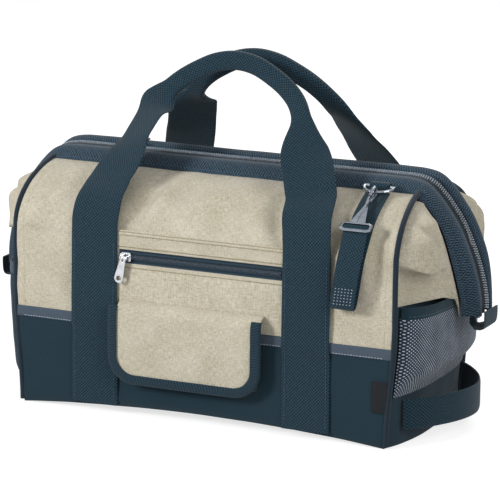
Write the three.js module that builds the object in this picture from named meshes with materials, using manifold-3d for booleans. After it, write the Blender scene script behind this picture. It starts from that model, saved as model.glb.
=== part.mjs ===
// Gate mouth tool bag. Millimetres, +Z up, the long side along X, the pocketed front towards -Y.
// The origin lies on the ground under the middle of the base.
import * as THREE from 'three';
import { mergeVertices } from 'three/addons/utils/BufferGeometryUtils.js';
import Module from 'manifold-3d';

const wasm = await Module();
wasm.setup();

// Clearances
const seatGap = 0.3;
const weldOverlap = 1;

// Body shell
const baseHalfLength = 194;
const shoulderHalfLength = 201;
const halfLengthRise = 120;
const halfDepth = 100;
const wallThickness = 3;
const endBulge = 14;
const shoulderHeight = 181;
const bottomArch = 10;
const keelHalfWidth = 55;
const bottomThickness = 3;
const boardThickness = 2.5;
const boardMargin = 6;
const boardGap = 0.5;
const bootTop = 88;
const seamBandHeight = 11;
const seamBandThickness = 1;
const endPanelTop = 139;

// Soft upper part
const canvasThickness = 2;
const seamDepth = 34.5;
const upperPanelTop = 236.5;
const upperPanelTopHalf = 195;
const shoulderFullness = { y: 94, z: 222 };
const gussetBulge = 19;
const gussetInset = 5.8;
const foldHeight = 160;
const pipingRadius = 2.4;

// Zip and mouth frame
const mouthTop = 247.5;
const mouthDip = 0.5;
const tailReach = 257;
const bandDrop = 17.5;
const coilHalfGap = 0.6;
const coilWidth = 3.6;
const tapeReach = 12.8;
const tapeThickness = 1;
const bandInner = 5;
const bandCrest = 17;
const bandCrestRise = 4;
const bandOuter = 33;
const bandThickness = 2;
const frameCentre = 17.5;
const frameWidth = 6.5;
const frameThickness = 2;
const hingeHeight = 118.5;
const hingePinRadius = 2;
const hingeLugRadius = 4.5;
const hingeClearance = 0.3;
const lugThickness = 2;
const frontLugInset = 9.5;
const rearLugInset = 7;
const tailTabHalfWidth = 18;
const tailTabFoot = 106;
const tailTabThickness = 2;
const tailTabInset = 14;
const tailTabOutset = 4.5;

// Webbing
const webbingWidth = 50;
const webbingThickness = 2;
const strapCentre = 113;
const strapFoot = 9;
const handlePivot = { x: 104, y: 76, z: 240 };
const gripWidth = 20;
const gripThickness = 9;
const handleTop = { y: 12, z: 347 };

// Front zip pocket
const pocketPanelHalf = 100;
const pocketPanelThickness = 1.2;
const pocketZipDrop = 20;
const pocketZipCentre = shoulderHeight - pocketZipDrop;
const pocketZipWidth = 14;
const pocketTapeThickness = 0.7;
const pocketRidge = 1;
const pocketSliderX = -79;

// Sliders, all of one size
const sliderLength = 12;
const sliderWidth = 8.8;
const sliderPlate = 1.6;
const pullBarHeight = 5.2;
const pullBarRadius = 0.8;
const pullBarHalf = 3.6;
const pullKnuckleRadius = 1.9;
const pullKnuckleHalf = 2.4;
const pullLength = 28;
const pullWidth = 8;
const pullThickness = 1.2;
const pullHoleRadius = 2.2;
const leftSliderX = -133;
const rightSliderX = -119;

// Patch pocket and flap
const flapLeft = -92;
const flapRight = 70;
const flapTop = 118;
const flapFoot = 37;
const flapThickness = 2;
const flapCornerRadius = 28;
const flapProud = 14.4;
const flapPlateTop = 107;
const bindingWidth = 9.5;
const bindingThickness = 1.2;
const patchInset = 6.6;
const patchFoot = 41;
const patchTop = 111;
const patchDepth = 10;
const patchThickness = 1.5;

// End pockets
const endPocketHalf = 92;
const endPocketTop = 139;
const endPocketBinding = 11.7;
const meshPocketFoot = 50;
const clothPocketFoot = 10;
const endPocketSeat = 0.7;
const endPocketStandoff = 13;
const endPocketThickness = 1.2;

// Tool holder
const toolX = 162;
const toolLean = 8;
const toolFoot = 136.6;
const toolWebbingWidth = 25;
const toolWebbingThickness = 1.5;
const ringWire = 1.5;
const ringHalfWidth = 15.3;
const ringTabWidth = 20;
const ringDepth = 15.5;
const ringBar = { y: 41.8, z: 243 };
const ringFoot = { y: 57, z: 240 };
const hookEye = { y: 101, z: 214.5 };
const hookWire = 1.7;
const hookEyeHalf = 14.5;
const hookEyeDepth = 9;

// Label tab and end loop
const labelTab = { left: 180, right: 196.3, foot: 36, top: 67, thickness: 1.1 };
const loopWidth = 30;
const loopThickness = 2.5;
const loopFrontY = -78;
const loopBackY = 82;
const loopReach = 34;
const loopHeight = 31;

const navy = 0x22384a;
const bootNavy = 0x2a3f4d;
const beige = 0xcbc0a3;
const slate = 0x46536a;
const meshGrey = 0x5c6b80;
const nickel = 0xb9bcc0;
const steel = 0x8f9499;
const black = 0x15181b;
const boardGrey = 0x3a3a3a;

const point = (x, y, z) => new THREE.Vector3(x, y, z);
const lerp = THREE.MathUtils.lerp;
const range = (count) => Array.from({ length: count }, (_, index) => index);
const steps = (count) => range(count + 1).map((index) => index / count);

const bag = new THREE.Group();

function addMesh(name, geometry, color, finish = { roughness: 0.9, metalness: 0 }) {
  const mesh = new THREE.Mesh(geometry, new THREE.MeshStandardMaterial({ color, ...finish }));
  mesh.name = name;
  bag.add(mesh);
  return mesh;
}

const metalFinish = { roughness: 0.3, metalness: 1 };

// A closed body from corner points and faces of three or four corners, turned so that its faces point outwards
function closedBody(corners, faces) {
  const indices = faces.flatMap((face) =>
    range(face.length - 2).flatMap((n) => [face[0], face[n + 1], face[n + 2]]));
  let volume = 0;
  for (let n = 0; n < indices.length; n += 3) {
    const [a, b, c] = indices.slice(n, n + 3).map((index) => corners[index]);
    volume += a.dot(b.clone().cross(c));
  }
  if (volume < 0) indices.reverse();
  const geometry = new THREE.BufferGeometry();
  geometry.setAttribute('position', new THREE.Float32BufferAttribute(corners.flatMap((p) => [p.x, p.y, p.z]), 3));
  geometry.setIndex(indices);
  return geometry;
}

// A sheet between an outer and an inner grid of points
function sheet(outer, inner) {
  const rows = outer.length;
  const columns = outer[0].length;
  const at = (layer, row, column) => (layer * rows + row) * columns + column;
  const faces = [];
  for (const r of range(rows - 1)) {
    for (const c of range(columns - 1)) {
      faces.push([at(0, r, c), at(0, r, c + 1), at(0, r + 1, c + 1), at(0, r + 1, c)]);
      faces.push([at(1, r, c), at(1, r + 1, c), at(1, r + 1, c + 1), at(1, r, c + 1)]);
    }
  }
  const last = rows - 1;
  for (const c of range(columns - 1)) {
    faces.push([at(0, 0, c + 1), at(0, 0, c), at(1, 0, c), at(1, 0, c + 1)]);
    faces.push([at(0, last, c), at(0, last, c + 1), at(1, last, c + 1), at(1, last, c)]);
  }
  const edge = columns - 1;
  for (const r of range(rows - 1)) {
    faces.push([at(0, r, 0), at(0, r + 1, 0), at(1, r + 1, 0), at(1, r, 0)]);
    faces.push([at(0, r + 1, edge), at(0, r, edge), at(1, r, edge), at(1, r + 1, edge)]);
  }
  return closedBody([...outer.flat(), ...inner.flat()], faces);
}

// A body through sections of equally many points: capped at both ends, or closed into a ring
function loft(sections, ring = false) {
  const count = sections[0].length;
  const at = (section, n) => (section % sections.length) * count + (n % count);
  const faces = [];
  for (const s of range(ring ? sections.length : sections.length - 1)) {
    for (const n of range(count)) faces.push([at(s, n), at(s, n + 1), at(s + 1, n + 1), at(s + 1, n)]);
  }
  if (!ring) {
    faces.push(range(count).reverse().map((n) => at(0, n)));
    faces.push(range(count).map((n) => at(sections.length - 1, n)));
  }
  return closedBody(sections.flat(), faces);
}

// Directions along a path of points
function tangents(path, ring = false) {
  return path.map((_, n) => {
    const before = ring ? path.at(n - 1) : path[Math.max(n - 1, 0)];
    const after = ring ? path[(n + 1) % path.length] : path[Math.min(n + 1, path.length - 1)];
    return after.clone().sub(before).normalize();
  });
}

// Webbing along a path: wide gives the direction across it, width and thickness its section
function ribbon(path, wide, width, thickness, ring = false) {
  const along = tangents(path, ring);
  const sections = path.map((centre, n) => {
    const normal = along[n].clone().cross(wide(n)).normalize();
    const across = normal.clone().cross(along[n]).normalize();
    const halfWidth = (typeof width === 'function' ? width(n) : width) / 2;
    const halfThickness = (typeof thickness === 'function' ? thickness(n) : thickness) / 2;
    const chamfer = Math.min(halfThickness * 0.9, halfWidth * 0.3);
    const outline = [
      [halfWidth - chamfer, halfThickness], [halfWidth, halfThickness * 0.3],
      [halfWidth, -halfThickness * 0.3], [halfWidth - chamfer, -halfThickness],
      [chamfer - halfWidth, -halfThickness], [-halfWidth, -halfThickness * 0.3],
      [-halfWidth, halfThickness * 0.3], [chamfer - halfWidth, halfThickness],
    ];
    return outline.map(([a, b]) => centre.clone().addScaledVector(across, a).addScaledVector(normal, b));
  });
  return loft(sections, ring);
}

// Round wire along a path that lies in the plane whose normal is given
function wire(path, planeNormal, radius, sides = 8, ring = false) {
  const along = tangents(path, ring);
  const sections = path.map((centre, n) => {
    const side = along[n].clone().cross(planeNormal).normalize();
    return range(sides).map((k) => {
      const angle = (k / sides) * 2 * Math.PI;
      return centre.clone()
        .addScaledVector(side, radius * Math.cos(angle))
        .addScaledVector(planeNormal, radius * Math.sin(angle));
    });
  });
  return loft(sections, ring);
}

// A smooth path through points chosen by hand
const smooth = (points, count) => new THREE.CatmullRomCurve3(points, false, 'centripetal').getPoints(count);

function toSolid(geometry) {
  const bare = geometry.clone();
  bare.deleteAttribute('normal');
  bare.deleteAttribute('uv');
  const merged = mergeVertices(bare, 1e-4);
  return new wasm.Manifold(new wasm.Mesh({
    numProp: 3,
    vertProperties: new Float32Array(merged.attributes.position.array),
    triVerts: new Uint32Array(merged.index.array),
  }));
}

function toGeometry(solid) {
  const { vertProperties, triVerts } = solid.getMesh();
  const geometry = new THREE.BufferGeometry();
  geometry.setAttribute('position', new THREE.BufferAttribute(vertProperties, 3));
  geometry.setIndex(new THREE.BufferAttribute(triVerts, 1));
  return geometry;
}

const joined = (...parts) => toGeometry(parts.map(toSolid).reduce((whole, next) => whole.add(next)));
const without = (whole, tool) => toGeometry(toSolid(whole).subtract(toSolid(tool)));

// A plate cut from an outline in the X-Z plane, from yBack towards the front by its thickness
function frontPlate(outline, yBack, thickness, curveSegments = 6) {
  const geometry = new THREE.ExtrudeGeometry(outline, { depth: thickness, bevelEnabled: false, curveSegments });
  return geometry.rotateX(Math.PI / 2).translate(0, yBack, 0);
}

const box = (x0, x1, y0, y1, z0, z1) =>
  new THREE.BoxGeometry(x1 - x0, y1 - y0, z1 - z0).translate((x0 + x1) / 2, (y0 + y1) / 2, (z0 + z1) / 2);

// Half length of the body at the corner seams, and how far an end wall stands out
const cornerX = (z) => lerp(baseHalfLength, shoulderHalfLength, THREE.MathUtils.smoothstep(z, 0, halfLengthRise));
const endHalf = halfDepth - wallThickness - seatGap;
const endX = (y, z) => cornerX(z) + endBulge * (1 - Math.abs(y / endHalf) ** 3);
const archAt = (x) => bottomArch * Math.max(0, 1 - (x / baseHalfLength) ** 2);
const keelRise = (y) => Math.max(0, (Math.abs(y) - keelHalfWidth) / (halfDepth - keelHalfWidth));
const underside = (x, y) => archAt(x) * keelRise(y);

// Base
function floorSheet(lift, thickness, margin) {
  const half = endHalf - margin;
  const grid = (z) => [-half, -keelHalfWidth, keelHalfWidth, half].map((y) => steps(16).map((u) => {
    const x = (2 * u - 1) * (endX(y, 0) - wallThickness - seatGap - margin);
    return point(x, y, underside(x, y) + z);
  }));
  return sheet(grid(lift + thickness), grid(lift));
}
addMesh('bottom_panel', floorSheet(0, bottomThickness, 0), bootNavy);
addMesh('base_board', floorSheet(bottomThickness + boardGap, boardThickness, boardMargin), boardGrey);

// Long walls: side is -1 at the front and 1 at the rear
function longWall(side, low, high, outerY, thickness, columns = 16, rows = 4) {
  const grid = (y) => steps(rows).map((v) => steps(columns).map((u) => {
    const x = (2 * u - 1) * cornerX(lerp(low(0), high, v));
    return point(x, side * y, lerp(low(x), high, v));
  }));
  return sheet(grid(outerY), grid(outerY - thickness));
}
const bandLow = bootTop + seatGap;
const bandHigh = bandLow + seamBandHeight;
for (const [name, side] of [['front', -1], ['rear', 1]]) {
  addMesh(`${name}_boot_panel`, longWall(side, archAt, bootTop, halfDepth, wallThickness), bootNavy);
  addMesh(`${name}_canvas_panel`, longWall(side, () => bandLow, shoulderHeight, halfDepth, wallThickness, 8, 3), beige);
  const bandFace = halfDepth + seatGap + seamBandThickness;
  addMesh(`${name}_seam_band`, longWall(side, () => bandLow, bandHigh, bandFace, seamBandThickness, 8, 1), slate);
}

// End walls: side is -1 at the left and 1 at the right
function endWall(side, low, high, outset, thickness, half, columns = 12, rows = 4) {
  const grid = (inset) => steps(rows).map((v) => steps(columns).map((u) => {
    const y = (2 * u - 1) * half;
    const z = lerp(low, high, v);
    return point(side * (endX(y, z) + outset(y, z) - inset), y, z);
  }));
  return sheet(grid(0), grid(thickness));
}
const flat = () => 0;
for (const [name, side] of [['right', 1], ['left', -1]]) {
  addMesh(`${name}_end_panel`, endWall(side, 0, endPanelTop, flat, wallThickness, endHalf), bootNavy);
}

// Pockets sewn on the ends, open at the top
function pocketStandoff(foot) {
  const belly = (y) => Math.sqrt(Math.max(0, 1 - (y / endPocketHalf) ** 8));
  const rise = (z) => THREE.MathUtils.smoothstep(z, foot, foot + 26);
  return (y, z) => endPocketSeat + endPocketThickness + endPocketStandoff * belly(y) * rise(z);
}
const pocketBindingFoot = endPocketTop - endPocketBinding;
const meshShape = pocketStandoff(meshPocketFoot);
const clothShape = pocketStandoff(clothPocketFoot);
const pocketClothTop = pocketBindingFoot - seatGap;
const bindingBulk = 1.8;
addMesh('mesh_pocket',
  endWall(1, meshPocketFoot, pocketClothTop, meshShape, endPocketThickness, endPocketHalf, 12, 6), meshGrey);
addMesh('mesh_pocket_binding',
  endWall(1, pocketBindingFoot, endPocketTop, meshShape, bindingBulk, endPocketHalf - 1, 12, 1), navy);
addMesh('left_end_pocket',
  endWall(-1, clothPocketFoot, pocketClothTop, clothShape, endPocketThickness, endPocketHalf, 12, 6), bootNavy);
addMesh('left_pocket_binding',
  endWall(-1, pocketBindingFoot, endPocketTop, clothShape, bindingBulk, endPocketHalf - 1, 12, 1), slate);

// Sewn straps, from the bottom seam to the shoulder, stepping over the seam band
const lowStrapY = halfDepth + seatGap + webbingThickness / 2;
const highStrapY = halfDepth + seatGap + pocketPanelThickness + seatGap + webbingThickness / 2;
const alongX = () => point(1, 0, 0);
for (const [depthName, depth] of [['front', -1], ['rear', 1]]) {
  for (const [sideName, side] of [['left', -1], ['right', 1]]) {
    const route = [[strapFoot, lowStrapY], [bandLow - 8, lowStrapY], [bandLow - 2, highStrapY],
      [shoulderHeight, highStrapY]];
    const path = route.map(([z, y]) => point(side * strapCentre, depth * y, z));
    addMesh(`${depthName}_${sideName}_strap`, ribbon(path, alongX, webbingWidth, webbingThickness), navy);
  }
}

// Upper panels curve in from the shoulder to the mouth band
function shoulderCurve(t) {
  const k = 1 - t;
  const y = k * k * halfDepth + 2 * k * t * shoulderFullness.y + t * t * seamDepth;
  const z = k * k * (shoulderHeight + 2 * seatGap) + 2 * k * t * shoulderFullness.z + t * t * upperPanelTop;
  return { y, z };
}
function shoulderNormal(t) {
  const before = shoulderCurve(Math.max(0, t - 0.01));
  const after = shoulderCurve(Math.min(1, t + 0.01));
  const run = Math.hypot(after.y - before.y, after.z - before.z);
  return { y: (after.z - before.z) / run, z: -(after.y - before.y) / run };
}
const shoulderHalf = (t) => lerp(cornerX(shoulderHeight), upperPanelTopHalf, t * t);
const shoulderSteps = steps(10);
for (const [name, side] of [['front', -1], ['rear', 1]]) {
  const grid = (inset) => shoulderSteps.map((t) => steps(8).map((u) => {
    const { y, z } = shoulderCurve(t);
    const normal = shoulderNormal(t);
    return point((2 * u - 1) * shoulderHalf(t), side * (y - normal.y * inset), z - normal.z * inset);
  }));
  addMesh(`${name}_upper_panel`, sheet(grid(0), grid(canvasThickness)), beige);
}

// Corner pipings
const pipingOut = pipingRadius + seatGap + 0.2;
for (const [depthName, depth] of [['front', -1], ['rear', 1]]) {
  for (const [sideName, side] of [['left', -1], ['right', 1]]) {
    const low = steps(6).map((v) => {
      const z = lerp(pipingRadius + 0.4, shoulderHeight, v);
      return point(side * (cornerX(z) + pipingOut), depth * (halfDepth - 0.5), z);
    });
    const high = shoulderSteps.slice(1, -1).map((t) => {
      const { y, z } = shoulderCurve(t);
      return point(side * (shoulderHalf(t) + pipingOut), depth * (y - 0.5), z - 0.5);
    });
    const path = [...low, ...high];
    addMesh(`${depthName}_${sideName}_piping`, wire(path, point(1, 0, 0), pipingRadius, 8), navy);
  }
}

// The mouth runs flat along the top and down both ends to the hinge. Each row of the right half gives shares of
// the tail reach, of the height over the tail foot, of the band's drop below the ridge and of its width
const tailFoot = hingeHeight + 0.6;
const ridge = [
  [0, 1, 0.63, 1], [0.233, 1, 0.63, 1], [0.467, 1, 0.55, 1], [0.642, 1, 0.46, 1], [0.72, 0.996, 0.4, 1],
  [0.774, 0.968, 0.32, 1], [0.817, 0.897, 0.29, 1], [0.866, 0.78, 0.34, 1], [0.907, 0.655, 0.5, 0.97],
  [0.949, 0.47, 0.74, 0.91], [0.978, 0.3, 0.9, 0.79], [0.995, 0.147, 0.97, 0.67], [1, 0, 1, 0.576],
].map(([along, height, drop, width]) => ({
  x: tailReach * along,
  z: lerp(tailFoot, mouthTop, height) - mouthDip * Math.max(0, 1 - along / 0.6),
  drop: bandDrop * drop,
  reach: bandOuter * width,
}));
const mirrored = ridge.slice(1).reverse().map((stop) => ({ ...stop, x: -stop.x }));
const mouthStops = [...mirrored, ...ridge];
const mouthAlong = tangents(mouthStops.map((stop) => point(stop.x, 0, stop.z)));
const mouthFrameAt = mouthStops.map((stop, n) => {
  const along = mouthAlong[n];
  return { ...stop, out: point(-along.z, 0, along.x) };
});

// A strip of the mouth: profile lists [distance from the zip line, height over the ridge]
function mouthStrip(side, outerProfile, innerProfile) {
  const grid = (profile) => mouthFrameAt.map((stop) => profile(stop).map(([a, b]) =>
    point(stop.x + stop.out.x * b, side * a, stop.z + stop.out.z * b)));
  return sheet(grid(outerProfile), grid(innerProfile));
}
const bandProfile = (lift) => (stop) => [
  [bandInner, lift],
  [bandInner + 5, 2.5 + lift],
  [bandCrest * (stop.reach / bandOuter), bandCrestRise + lift],
  [lerp(bandCrest, bandOuter, 0.6) * (stop.reach / bandOuter), bandCrestRise - (bandCrestRise + stop.drop) * 0.35 + lift],
  [stop.reach, lift - stop.drop],
];
const coilEdge = coilHalfGap + coilWidth;
const zipTop = (stop) => [[coilHalfGap, -0.2], [coilEdge, -0.2], [coilEdge + 0.2, -2.5],
  [Math.min(tapeReach, stop.reach - 6), -2.5]];
const zipUnder = (stop) => zipTop(stop).map(([a]) => [a, -2.5 - tapeThickness]);

// The steel strip follows the band and ends in a lug on the hinge pin
function frameHalf(side, lugInset) {
  const lugX = mouthFrameAt.at(-1).x - lugInset;
  const lift = -0.4 - frameThickness / 2;
  const over = mouthFrameAt.slice(0, -3).slice(3).map((stop) => ({
    centre: point(stop.x + stop.out.x * lift, side * frameCentre, stop.z + stop.out.z * lift),
    out: stop.out,
  }));
  const foot = [
    { centre: point(lugX - 8, side * (frameCentre - 1), 172), out: point(0.94, 0, 0.34) },
    { centre: point(lugX - 4, side * 10, 150), out: point(1, 0, 0.05) },
    { centre: point(lugX - 1, side * 3.6, 134), out: point(1, 0, 0) },
    { centre: point(lugX, 0, hingeHeight + hingeLugRadius - 1), out: point(1, 0, 0) },
  ];
  const mirror = ({ centre, out }) => ({
    centre: point(-centre.x, centre.y, centre.z), out: point(-out.x, out.y, out.z) });
  const stations = [...foot.map(mirror).reverse(), ...over.slice(1, -1), ...foot];
  const along = tangents(stations.map(({ centre }) => centre));
  const strip = loft(stations.map(({ centre, out }, n) => {
    const across = out.clone().cross(along[n]).normalize();
    const normal = along[n].clone().cross(across).normalize();
    return [[1, 1], [1, -1], [-1, -1], [-1, 1]].map(([a, b]) => centre.clone()
      .addScaledVector(across, (a * frameWidth) / 2).addScaledVector(normal, (b * frameThickness) / 2));
  }));
  const disc = (end) => new THREE.CylinderGeometry(hingeLugRadius, hingeLugRadius, lugThickness, 24)
    .rotateZ(Math.PI / 2).translate(end * lugX, 0, hingeHeight);
  const bore = new THREE.CylinderGeometry(hingePinRadius + hingeClearance, hingePinRadius + hingeClearance,
    2 * lugX + 4 * lugThickness, 24)
    .rotateZ(Math.PI / 2).translate(0, 0, hingeHeight);
  return without(joined(strip, disc(1), disc(-1)), bore);
}

for (const [name, side, lugInset] of [['front', -1, frontLugInset], ['rear', 1, rearLugInset]]) {
  addMesh(`${name}_frame`, frameHalf(side, lugInset), steel, metalFinish);
  addMesh(`${name}_mouth_band`, mouthStrip(side, bandProfile(0), bandProfile(-bandThickness)), navy);
  addMesh(`main_zip_${name}`, mouthStrip(side, zipTop, zipUnder), black);
}

// Hinge pins and the webbing tabs folded over the zip tails
const tailX = mouthFrameAt.at(-1).x;
const tabInnerFace = tailX - tailTabInset + tailTabThickness;
for (const [name, side] of [['right', 1], ['left', -1]]) {
  const pinStart = tabInnerFace + seatGap;
  const pinEnd = tailX - rearLugInset + lugThickness / 2 + 0.8;
  addMesh(`${name}_hinge_pin`,
    new THREE.CylinderGeometry(hingePinRadius, hingePinRadius, pinEnd - pinStart, 20)
      .rotateZ(Math.PI / 2).translate(side * (pinStart + pinEnd) / 2, 0, hingeHeight), steel, metalFinish);
  const innerX = tailX - tailTabInset + tailTabThickness / 2;
  const outerX = tailX + tailTabOutset;
  const tabTop = hingeHeight - 0.5;
  const foot = tailTabFoot + tailTabThickness / 2;
  const fold = [[innerX, tabTop], [innerX, foot + 3], [innerX + 3, foot], [outerX - 3, foot],
    [outerX, foot + 3], [outerX + 1, tabTop + 1]];
  const path = fold.map(([x, z]) => point(side * x, 0, z));
  addMesh(`${name}_tail_tab`,
    ribbon(path, () => point(0, 1, 0), 2 * tailTabHalfWidth, tailTabThickness), navy);
}

// Gussets: two wings from the corner pipings to the band, joined by the floor of the zip tail
const wingStops = mouthFrameAt.slice(-7);
function wing(side, depth) {
  const bandEdge = wingStops.map((stop) => {
    const under = stop.drop + bandThickness + 1.4;
    return point(stop.x - stop.out.x * under, stop.reach - 1, stop.z - stop.out.z * under);
  }).reverse();
  const rows = bandEdge.length;
  const cornerEdge = range(rows).map((n) => {
    const v = n / (rows - 1);
    const z = lerp(endPanelTop + seatGap, upperPanelTop - 6, v);
    if (z < shoulderHeight) return point(cornerX(z) + 0.6, endHalf - 2.2, z);
    const t = ((z - shoulderHeight) / (upperPanelTop - shoulderHeight)) * 0.95;
    const curve = shoulderCurve(t);
    const normal = shoulderNormal(t);
    return point(shoulderHalf(t) + 0.6, curve.y - normal.y * gussetInset, curve.z - normal.z * gussetInset);
  });
  const grid = (inset) => range(rows).map((n) => steps(8).map((u) => {
    const a = cornerEdge[n];
    const b = bandEdge[n];
    const lift = Math.max(0, (b.z - foldHeight) / 28);
    const bulge = gussetBulge * Math.sin(Math.PI * u ** 0.7) * Math.min(1, lift, (upperPanelTop - b.z) / 18);
    const y = lerp(a.y, b.y, u);
    const sweep = u ** 1.6;
    const x = n === 0 ? lerp(endX(y, a.z), b.x, u ** 2) : lerp(a.x, b.x, sweep);
    const z = n === 0 ? lerp(a.z, b.z, u ** 50) : lerp(a.z, b.z, u);
    return point(side * (x + bulge - inset), depth * y, z);
  }));
  return sheet(grid(0), grid(canvasThickness));
}
for (const [name, side] of [['right', 1], ['left', -1]]) {
  const front = wing(side, -1);
  const rear = wing(side, 1);
  const stop = wingStops.at(-1);
  const under = stop.drop + bandThickness + 1.4;
  const footX = stop.x - stop.out.x * under;
  const footY = stop.reach - 1;
  const floorGrid = (inset) => [0, 1].map((v) => steps(4).map((u) => point(
    side * (footX - inset),
    (2 * u - 1) * (footY + weldOverlap),
    stop.z - 1.5 + v * 7)));
  addMesh(`${name}_gusset`, joined(front, rear, sheet(floorGrid(0), floorGrid(canvasThickness))), beige);
}

// Handles, and the free stretches of the straps below them
const spineSteps = 40;
const handleHalf = [
  [0, handleTop.y, handleTop.z, 0], [20, 12.5, 344, 0], [38, 14.5, 336, 0.1], [56, 18, 325, 0.25],
  [70, 23.5, 312, 0.4], [80, 34, 296, 0.6], [88, 49, 277, 0.8], [97, 64.5, 256, 0.92],
  [handlePivot.x, handlePivot.y, handlePivot.z, 1],
];
const handleStops = [...handleHalf.slice(1).reverse().map(([x, y, z, share]) => [-x, y, z, share]), ...handleHalf];
// How far the folded grip has opened into the flat leg: 0 at the grip and 1 at the foot
function opening(n) {
  const place = (n / spineSteps) * (handleStops.length - 1);
  const low = Math.min(Math.floor(place), handleStops.length - 2);
  return lerp(handleStops[low][3], handleStops[low + 1][3], place - low);
}
const legLean = 0.62;
for (const [depthName, depth] of [['front', -1], ['rear', 1]]) {
  const spine = smooth(handleStops.map(([x, y, z]) => point(x, depth * y, z)), spineSteps);
  const along = tangents(spine);
  const wide = (n) => {
    const lean = legLean * opening(n);
    const normal = point(0, depth * Math.cos(lean), Math.sin(lean));
    return along[n].clone().cross(normal).normalize();
  };
  const openness = (n) => THREE.MathUtils.smoothstep(opening(n), 0.3, 0.75);
  addMesh(`${depthName}_handle`, ribbon(spine, wide,
    (n) => lerp(gripWidth, webbingWidth, openness(n)),
    (n) => lerp(gripThickness, webbingThickness + 0.4, openness(n))), navy);

  for (const [sideName, side, foot, next] of [
    ['left', -1, spine[0], spine[1]], ['right', 1, spine.at(-1), spine.at(-2)]]) {
    const away = foot.clone().sub(next).normalize();
    const start = point(side * strapCentre, depth * highStrapY, shoulderHeight + seatGap);
    const toPivot = (x, y, z) => point(side * lerp(strapCentre, handlePivot.x, x),
      depth * lerp(highStrapY, handlePivot.y, y), lerp(shoulderHeight, handlePivot.z, z));
    const path = [start, ...smooth([
      point(side * strapCentre, depth * highStrapY, shoulderHeight + 4),
      toPivot(0.1, 0.04, 0.32),
      toPivot(0.44, 0.29, 0.63),
      foot.clone().addScaledVector(away, 8),
    ], 8), foot.clone().addScaledVector(away, 2 * seatGap)];
    addMesh(`${depthName}_${sideName}_riser`, ribbon(path, alongX, webbingWidth, webbingThickness), navy);
  }
}

// Front zip pocket: a panel with a window for its zip
const pocketFace = halfDepth + seatGap;
const zipFoot = pocketZipCentre - pocketZipWidth / 2;
const zipHead = pocketZipCentre + pocketZipWidth / 2;
const windowHalf = strapCentre - webbingWidth / 2;
const rectangle = (left, right, foot, top) => {
  const outline = new THREE.Shape();
  outline.moveTo(left, foot);
  outline.lineTo(right, foot);
  outline.lineTo(right, top);
  outline.lineTo(left, top);
  outline.closePath();
  return outline;
};
const panelOutline = rectangle(-pocketPanelHalf, pocketPanelHalf, bandHigh + seatGap, shoulderHeight);
panelOutline.holes.push(rectangle(-windowHalf, windowHalf, zipFoot, zipHead));
addMesh('zip_pocket_panel', frontPlate(panelOutline, -pocketFace, pocketPanelThickness), beige);

const tapeSection = [
  [zipHead - seatGap, 0], [zipHead - seatGap, pocketTapeThickness], [pocketZipCentre + 2, pocketTapeThickness],
  [pocketZipCentre + 1.6, pocketTapeThickness + pocketRidge],
  [pocketZipCentre - 1.6, pocketTapeThickness + pocketRidge],
  [pocketZipCentre - 2, pocketTapeThickness], [zipFoot + seatGap, pocketTapeThickness], [zipFoot + seatGap, 0],
];
const tapeEnd = windowHalf - seatGap;
addMesh('pocket_zip_tape', sheet(
  [-tapeEnd, tapeEnd].map((x) => tapeSection.slice(1, -1).map(([z, d]) => point(x, -pocketFace - d, z))),
  [-tapeEnd, tapeEnd].map((x) => tapeSection.slice(1, -1).map(([z]) => point(x, -pocketFace, z)))), black);

// Slider in its own frame: x along the zip, z out of the tape, the pull lies towards -y
function sliderBody(straddles) {
  const outline = new THREE.Shape();
  const half = sliderLength / 2;
  const wide = sliderWidth / 2;
  outline.moveTo(-half, -wide * 0.6);
  outline.lineTo(-half + 3, -wide);
  outline.lineTo(half - 1.5, -wide);
  outline.quadraticCurveTo(half, -wide, half, 0);
  outline.quadraticCurveTo(half, wide, half - 1.5, wide);
  outline.lineTo(-half + 3, wide);
  outline.lineTo(-half, wide * 0.6);
  outline.closePath();
  const shield = (z) => new THREE.ExtrudeGeometry(outline, { depth: sliderPlate, bevelEnabled: false, curveSegments: 4 })
    .translate(0, 0, z);
  const ear = (side) => box(side * pullBarHalf - 0.6, side * pullBarHalf + 0.6, -1.3, 1.3, sliderPlate - 0.4,
    pullBarHeight + pullBarRadius + 0.6);
  const bar = new THREE.CylinderGeometry(pullBarRadius, pullBarRadius, 2 * pullBarHalf, 12).rotateZ(Math.PI / 2)
    .translate(0, 0, pullBarHeight);
  const parts = [shield(0), ear(1), ear(-1), bar];
  if (straddles) {
    const underTop = -(tapeThickness + 2.5 + 2 * seatGap);
    parts.push(shield(underTop - sliderPlate));
    parts.push(box(-half + 3, half - 3, -coilHalfGap / 2, coilHalfGap / 2, underTop - 0.5, 0.5));
  }
  return joined(...parts);
}
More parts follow.
